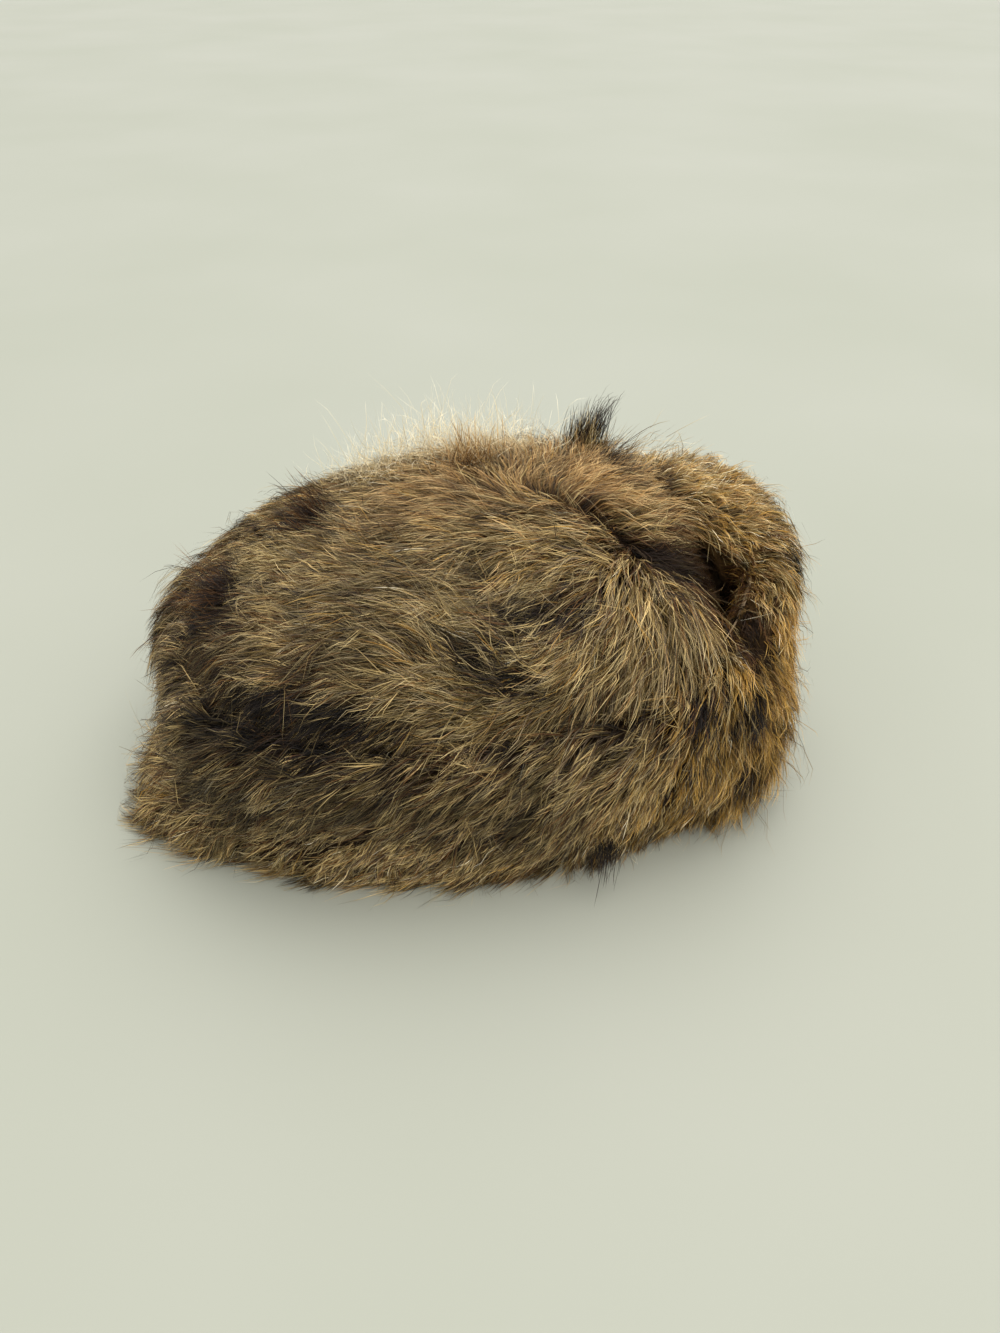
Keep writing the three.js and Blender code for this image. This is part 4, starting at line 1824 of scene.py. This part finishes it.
CROWN_COMBS = (
    Comb((42, -34, 107), 9, (-0.98, -0.15, 0.13)),
    Comb((31, -34, 106), 14, (-1, 0, 0)),
    Comb((41, -51, 103), 10, (-0.81, -0.58, 0)),
    Comb((33, -67, 99), 11, (-0.83, -0.43, -0.36)),
    Comb((20, -80, 90), 8, (-0.7, -0.5, -0.5)),
    Comb((50, -67, 90), 10, (-0.34, -0.8, -0.49)),
    Comb((58, -62, 93), 9, (-0.25, -0.88, -0.4)),
    Comb((73, -62, 90), 11, (0.2, -0.8, -0.5)),
    Comb((84, -56, 82), 10, (0.5, -0.8, -0.3)),
    Comb((66, -18, 101), 12, (0.9, 0.1, -0.2)),
    Comb((-33, -45, 102), 8, (-1.0, 1.5, 0.25)),
    Comb((-22, -60, 100), 9, (-1.0, 1.5, 0.35)),
    Comb((-12, -72, 94), 9, (-0.95, 1.5, 0.35)),
    Comb((-2, -81, 87), 9, (-1.2, 1.1, 0.7)),
    Comb((12, -87, 84), 8, (-1.1, 0.5, 1.1)),
    Comb((-6, -60, 98), 7, (-1.0, 0.55, 0.25)),
    Comb((21, -76, 91), 6, (-1.2, -0.2, -0.3)),
    Comb((15, -62, 98), 7, (-1.2, -0.35, 0.2)),
    Comb((-43, -57, 95), 14, (-0.9, 0.45, -0.05)),
    Comb((-76, -52, 87), 16, (-0.88, 0.43, -0.19)),
    Comb((-80, -27, 87), 14, (-0.7, 0.68, -0.24)),
    Comb((-52, -24, 98), 14, (-0.74, 0.64, -0.21)),
    Comb((-104, -36, 80), 14, (-0.6, 0.5, -0.5)),
    Comb((-52, -65, 86), 14, (-0.96, 0.27, -0.07)),
    Comb((-62, -75, 81), 12, (-0.87, 0.37, -0.33)),
    Comb((-38, -85, 83), 12, (-1, 0.13, -0.08)),
    Comb((-11, -92, 77), 12, (-1, 0.05, 0.1)),
    Comb((11, -93, 68), 12, (-0.96, 0.18, -0.2)),
    Comb((31, -92, 66), 11, (-0.84, 0, -0.54)),
    Comb((45, -94, 61), 11, (-0.8, -0.3, -0.5)),
    Comb((67, -86, 68), 9, (-0.45, -0.7, -0.5)),
    Comb((-6, -26, 110), 18, (-1, 0, 0)),
    Comb((-19, 14, 110), 20, (-0.95, -0.2, 0)),
    Comb((-57, 6, 97), 12, (-0.5, 0.8, 0.1)),
    Comb((-88, -9, 85), 12, (-0.5, 0.75, 0)),
    Comb((32, 5, 114), 12, (0.9, -0.1, 0)),
    Comb((9, 22, 112), 14, (0, 1, 0)),
)
CUFF_COMBS = (
    Comb((-122, -46, 22), 16, (-0.6, 0.35, -0.6)),
    Comb((-97, -71, 50), 18, (-0.77, 0.22, -0.6)),
    Comb((-72, -85, 52), 16, (-0.92, 0.09, -0.38)),
    Comb((-52, -90, 57), 13, (-1, 0, 0)),
    Comb((-84, -88, 28), 18, (-0.75, 0.15, -0.65)),
    Comb((-52, -98, 30), 18, (-0.85, 0, -0.5)),
    Comb((-21, -91, 59), 14, (-0.98, 0.19, -0.1)),
    Comb((5, -97, 57), 14, (-1, -0.05, 0)),
    Comb((31, -97, 56), 13, (-0.98, -0.1, -0.15)),
    Comb((48, -95, 55), 12, (-0.86, -0.2, -0.45)),
    Comb((-20, -100, 30), 20, (-0.88, 0, -0.45)),
    Comb((14, -102, 28), 18, (-0.85, 0, -0.5)),
    Comb((42, -99, 36), 14, (-0.68, 0, -0.73)),
    Comb((68, -96, 36), 15, (-0.37, -0.2, -0.88)),
    Comb((95, -80, 35), 18, (-0.15, -0.2, -0.97)),
    Comb((112, -58, 50), 16, (0, -0.3, -0.95)),
    Comb((98, -61, 79), 12, (0.1, -0.85, -0.5)),
    Comb((111, -23, 88), 14, (0.4, -0.75, -0.1)),
    Comb((104, 28, 93), 16, (0.95, 0.15, -0.1)),
    Comb((80, 0, 92), 14, (0.95, 0.1, -0.1)),
    Comb((94, 60, 88), 14, (0.42, 0.8, -0.4)),
    Comb((111, -51, 83), 10, (0.4, -0.76, -0.5)),
)
CROWN_PATCHES = (
    Patch((-100, -5, 80), 9, Tone.BLACK, 16.0),
    Patch((-91, -18, 85), 7, Tone.BLACK, 12.0),
    Patch((-64, 18, 94), 7, Tone.BLACK, 9.0),
    Patch((-55, 14, 99), 6, Tone.BLACK, 7.0),
    Patch((-74, 3, 93), 8, Tone.OLIVE, 14.0),
    Patch((-104, -34, 70), 13, Tone.RUSSET, 4.0),
    # Painted shade: black hair along the crease where the crown hangs over the cuff.
    Patch((-98, -53, 71), 3.2, Tone.BLACK, 30.0),
    Patch((-92, -58, 71), 3.2, Tone.BLACK, 30.0),
    Patch((-86, -62, 71), 3.2, Tone.BLACK, 40.0),
    Patch((-80, -66, 71), 3.2, Tone.BLACK, 40.0),
    Patch((-74, -70, 71), 3.2, Tone.BLACK, 40.0),
    Patch((-68, -73, 71), 3.2, Tone.BLACK, 40.0),
    Patch((-62, -76, 71), 3.2, Tone.BLACK, 30.0),
    Patch((-56, -79, 70), 3.2, Tone.BLACK, 30.0),
    Patch((-50, -81, 70), 3, Tone.BLACK, 20.0),
    Patch((-43, -85, 69), 3, Tone.BLACK, 16.0),
    Patch((-36, -88, 68), 3, Tone.BLACK, 12.0),
    # Painted shade: black hair along the dip among the front locks and in the gaps beside it.
    Patch((10, -68, 96), 5, Tone.BLACK, 4.0),
    Patch((-9, -76, 91), 2.5, Tone.BLACK, 8.0),
    Patch((-2, -81, 87), 3, Tone.BLACK, 14.0),
    Patch((4, -87, 83), 3.5, Tone.BLACK, 20.0),
    Patch((10, -90, 79), 3, Tone.BLACK, 12.0),
    Patch((28, -68, 96), 5, Tone.BLACK, 2.5),
    Patch((-61, -65, 83), 6, Tone.RUSSET, 4.0),
    # Painted shade: dark russet hair down the crevice behind the cuff's tall front.
    Patch((58, -41, 101), 4.5, Tone.RUSSET, 14.0),
    Patch((74, -40, 94), 6, Tone.RUSSET, 20.0),
    Patch((87, -38, 84), 10, Tone.RUSSET, 20.0),
    Patch((89, -52, 80), 5, Tone.RUSSET, 16.0),
    # Painted light: paler olive hair between the parting and the crest, where the coat lies in shade.
    Patch((68, -24, 103), 9, Tone.OLIVE, 3.0),
    # Painted shade: darker russet hair in the shallow dip along the parting.
    Patch((46, -20, 107), 5, Tone.RUSSET, 4.0),
    Patch((70, 18, 101), 5, Tone.GREY, 6.0),
    Patch((72, -8, 100), 16, Tone.WARM, 3.0),
)
CUFF_PATCHES = (
    # Painted shade: dark russet hair on the cuff's wall of the crevice.
    Patch((91, -37, 79), 6, Tone.RUSSET, 16.0),
    Patch((89, -50, 76), 6, Tone.RUSSET, 16.0),
    Patch((87, -62, 73), 5, Tone.RUSSET, 12.0),
    Patch((92, -63, 77), 3.5, Tone.RUSSET, 16.0),
    Patch((91, -71, 75), 3.5, Tone.RUSSET, 12.0),
    # Painted shade: black hair along the crease under the crown's edge.
    Patch((-98, -57, 65), 4, Tone.BLACK, 12.0),
    Patch((-88, -64, 65), 4, Tone.BLACK, 14.0),
    Patch((-78, -70, 65), 4, Tone.BLACK, 14.0),
    Patch((-68, -75, 65), 4, Tone.BLACK, 14.0),
    Patch((-58, -79, 65), 4, Tone.BLACK, 10.0),
    Patch((67, -89, 62), 4.5, Tone.BLACK, 12.0),
    Patch((92, -86, 53), 4.5, Tone.BLACK, 12.0),
    Patch((94, -86, 24), 4.5, Tone.BLACK, 10.0),
    Patch((66, -98, 34), 4.5, Tone.BLACK, 10.0),
    Patch((121, -34, 82), 6, Tone.BLACK, 6.0),
    Patch((32, -103, 10), 5, Tone.BLACK, 4.0),
    # Painted light: cream hair on the far part of the crest, as if lit from behind.
    Patch((94, 26, 96), 10, Tone.CREAM, 1.0),
)
# Where the crown's hair is lighter or darker. The marked groups are painted light and shade; the rest set
# the hair lighter or darker in places.
CROWN_PAINTED_LIGHT_AND_TONE = (
    # Painted shade down the crevice behind the cuff's tall front.
    PaintedLightAndTone((59, -41, 101), 4.5, -0.5),
    PaintedLightAndTone((74, -40, 94), 6, -0.7),
    PaintedLightAndTone((87, -38, 84), 10, -0.85),
    PaintedLightAndTone((89, -52, 80), 6, -0.5),
    # Painted light on the coat between the parting and the crest, which lies in shade.
    PaintedLightAndTone((67, -25, 103), 8, 0.3),
    # Painted shade in the shallow dip along the parting.
    PaintedLightAndTone((46, -18, 107), 6, -0.2),
    # Painted shade along the crease where the crown hangs over the cuff.
    PaintedLightAndTone((-98, -53, 71), 5.5, -0.4),
    PaintedLightAndTone((-86, -62, 71), 5.5, -0.5),
    PaintedLightAndTone((-74, -70, 71), 5.5, -0.5),
    PaintedLightAndTone((-62, -77, 71), 5.5, -0.5),
    PaintedLightAndTone((-50, -82, 70), 5, -0.45),
    PaintedLightAndTone((-39, -87, 69), 5, -0.3),
    PaintedLightAndTone((-72, 4, 94), 8, 0.28),
    PaintedLightAndTone((-104, -36, 72), 14, -0.65),
    PaintedLightAndTone((-98, -10, 82), 11, -0.35),
    PaintedLightAndTone((-60, 16, 97), 9, -0.15),
    PaintedLightAndTone((-100, -34, 74), 12, -0.2),
    PaintedLightAndTone((34, -40, 105), 13, 0.36),
    PaintedLightAndTone((56, -66, 92), 11, 0.3),
    PaintedLightAndTone((76, -70, 84), 11, 0.35),
    PaintedLightAndTone((18, -80, 88), 8, 0.35),
    # Painted shade along the dip among the front locks and in the gaps beside it.
    PaintedLightAndTone((10, -68, 96), 5, -0.35),
    PaintedLightAndTone((28, -68, 96), 6, -0.2),
    PaintedLightAndTone((-17, -70, 96), 4, -0.4),
    PaintedLightAndTone((-9, -76, 91), 4, -0.55),
    PaintedLightAndTone((-2, -81, 87), 4, -0.65),
    PaintedLightAndTone((4, -87, 83), 4.5, -0.7),
    PaintedLightAndTone((11, -90, 78), 5, -0.5),
    PaintedLightAndTone((-12, -66, 97), 5, 0.15),
    PaintedLightAndTone((-48, -60, 92), 22, -0.12),
    PaintedLightAndTone((20, -38, 106), 8, 0.2),
    PaintedLightAndTone((-10, -46, 104), 9, -0.16),
    PaintedLightAndTone((-24, -66, 97), 8, 0.15),
    PaintedLightAndTone((70, -4, 102), 14, 0.3),
    PaintedLightAndTone((-60, -50, 92), 16, -0.08),
)
# Where the cuff's hair is lighter or darker. The marked groups are painted light and shade; the rest set the
# hair lighter or darker in places.
CUFF_PAINTED_LIGHT_AND_TONE = (
    # Painted shade on the cuff's wall of the crevice.
    PaintedLightAndTone((91, -37, 78), 6, -0.5),
    PaintedLightAndTone((88, -50, 75), 6, -0.6),
    PaintedLightAndTone((86, -62, 72), 6, -0.4),
    PaintedLightAndTone((92, -63, 77), 5, -0.7),
    PaintedLightAndTone((91, -71, 75), 5, -0.55),
    # Lighter crest: partly its own pale tone, partly painted light on hair that lies in shade or is lit from
    # behind.
    PaintedLightAndTone((90, -6, 96), 20, 0.5),
    PaintedLightAndTone((100, 4, 92), 20, 0.15),
    PaintedLightAndTone((110, -22, 86), 12, 0.3),
    PaintedLightAndTone((106, -48, 78), 11, 0.4),
    PaintedLightAndTone((112, -44, 64), 14, 0.35),
    PaintedLightAndTone((100, 45, 88), 24, 0.3),
    PaintedLightAndTone((108, -44, 76), 12, 0.15),
    PaintedLightAndTone((104, -68, 56), 14, 0.3),
    PaintedLightAndTone((50, -99, 36), 16, 0.7),
    # Partly painted light reflected up from the table: the hair low down is lightened.
    PaintedLightAndTone((20, -102, 14), 22, 0.25),
    PaintedLightAndTone((-44, -97, 16), 20, 0.25),
    # Painted shade along the crease under the crown's edge.
    PaintedLightAndTone((-96, -59, 64), 6, -0.35),
    PaintedLightAndTone((-78, -70, 64), 6, -0.4),
    PaintedLightAndTone((-60, -78, 64), 6, -0.3),
    PaintedLightAndTone((-94, -70, 44), 18, -0.5),
    PaintedLightAndTone((-50, -94, 42), 15, -0.42),
    PaintedLightAndTone((-6, -103, 36), 16, -0.45),
    PaintedLightAndTone((45, -94, 61), 8, -0.3),
    PaintedLightAndTone((-122, -42, 22), 12, 0.25),
    PaintedLightAndTone((-110, -50, 50), 16, -0.15),
    PaintedLightAndTone((-124, -36, 12), 14, 0.2),
    # Partly painted light reflected up from the table.
    PaintedLightAndTone((-60, -98, 6), 20, 0.15),
)
CROWN_TUFTS = (
    Tuft((60, 34, 108), 2.8, (0.45, 0.1, 1), 22, 190, Tone.BLACK,
         spread=0.12, width=0.18, bright=0.95, closing=0.55),
    Tuft((54, 34, 108), 2.4, (0.15, 0.1, 1), 17, 140, Tone.BLACK,
         spread=0.12, width=0.18, bright=0.9, closing=0.5),
    Tuft((57, 33, 106), 4, (0.25, 0.1, 1), 12, 200, Tone.OLIVE, spread=0.25, width=0.2, bright=0.9),
    Tuft((66, 18, 104), 4, (0.9, 0.1, 0.5), 15, 170, Tone.GREY, spread=0.3, width=0.18, bright=0.5),
    Tuft((-56, 14, 96), 4, (-0.8, 0.1, 0.6), 14, 260, Tone.BLACK,
         spread=0.3, width=0.18, bright=0.95, sunk=6, crimp=0.6),
    Tuft((-57, 12, 95), 6, (-0.8, 0.1, 0.6), 14, 300, Tone.RUSSET,
         spread=0.35, width=0.18, bright=0.6, sunk=6, crimp=0.6),
    Tuft((-92, -10, 82), 4, (-0.9, 0.2, 0.3), 14, 260, Tone.BLACK,
         spread=0.3, width=0.18, bright=0.95, sunk=6, crimp=0.6),
    Tuft((-92, -10, 81), 6, (-0.9, 0.2, 0.3), 14, 260, Tone.RUSSET,
         spread=0.35, width=0.18, bright=0.6, sunk=6, crimp=0.6),
    Tuft((9, 24, 108), 6, (-0.1, 0.5, 1), 12, 260, Tone.WARM, spread=0.35, bright=0.6, crimp=0.6),
    # Cream wisps over the far side of the top: pale hair, made paler and brighter as painted backlight.
    Tuft((-26, 36, 101), 10, (-0.2, 0.3, 1), 15, 480, Tone.CREAM,
         spread=0.5, width=0.11, bright=0.75, rarity=2, crimp=1.3),
    Tuft((4, 42, 104), 12, (0, 0.3, 1), 18, 760, Tone.CREAM,
         spread=0.5, width=0.11, bright=0.75, rarity=2, crimp=1.3),
    Tuft((30, 38, 104), 9, (0.1, 0.3, 1), 16, 420, Tone.CREAM,
         spread=0.5, width=0.11, bright=0.75, rarity=2, crimp=1.3),
)
CUFF_TUFTS = (
    Tuft((92, 24, 93), 7, (0.9, 0.2, 0.3), 13, 420, Tone.CREAM,
         spread=0.35, width=0.16, bright=0.4, crimp=0.5),
    Tuft((34, -101, 17), 3, (-0.2, -0.5, -0.8), 13, 140, Tone.BLACK, spread=0.18, width=0.2, closing=0.5),
)


def main() -> None:
    """Builds the hat and its stage."""
    logging.basicConfig(level=logging.INFO)
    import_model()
    low, high = (np.array(corner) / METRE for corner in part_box("crown_side_pelt"))
    rim = CROWN_ROWS[0]
    middle = (low + high)[:2] / 2 - np.array([(rim.front - rim.behind) / 2, 0])
    form = HatForm(middle)
    LOG.info("crown's middle at %s", middle)

    Studio().build()
    Hide(form).build(HideFinish().material())
    crown_wool = CrownSkin(form, deep=0.4, swells=CROWN_SWELLS)
    cuff_wool = CuffSkin(form, deep=0.6, swells=CUFF_SWELLS)
    UnderFur(form, crown_wool, cuff_wool).build()
    fur = FurFinish().material()
    coats = (
        CrownCoat(
            name="crown",
            node="crown_fur",
            slot="crown_fur",
            skin=CrownSkin(form, deep=0.15, swells=CROWN_SWELLS),
            layers=CROWN_LAYERS,
            combs=CROWN_COMBS,
            patches=CROWN_PATCHES,
            shades=CROWN_PAINTED_LIGHT_AND_TONE,
            seed=5,
            tufts=CROWN_TUFTS,
        ),
        CuffCoat(
            name="cuff",
            node="cuff_fur",
            slot="cuff_fur",
            skin=CuffSkin(form, deep=0.4, swells=CUFF_SWELLS),
            layers=CUFF_LAYERS,
            combs=CUFF_COMBS,
            patches=CUFF_PATCHES,
            shades=CUFF_PAINTED_LIGHT_AND_TONE,
            seed=7,
            tufts=CUFF_TUFTS,
        ),
    )
    for coat in coats:
        coat.grow(fur)

    polygons = (polygon for coat in coats for piece in coat.pieces for polygon in piece.data.polygons)
    LOG.info("hair: %d triangles", sum(len(polygon.vertices) - 2 for polygon in polygons))


if __name__ == "__main__":
    main()
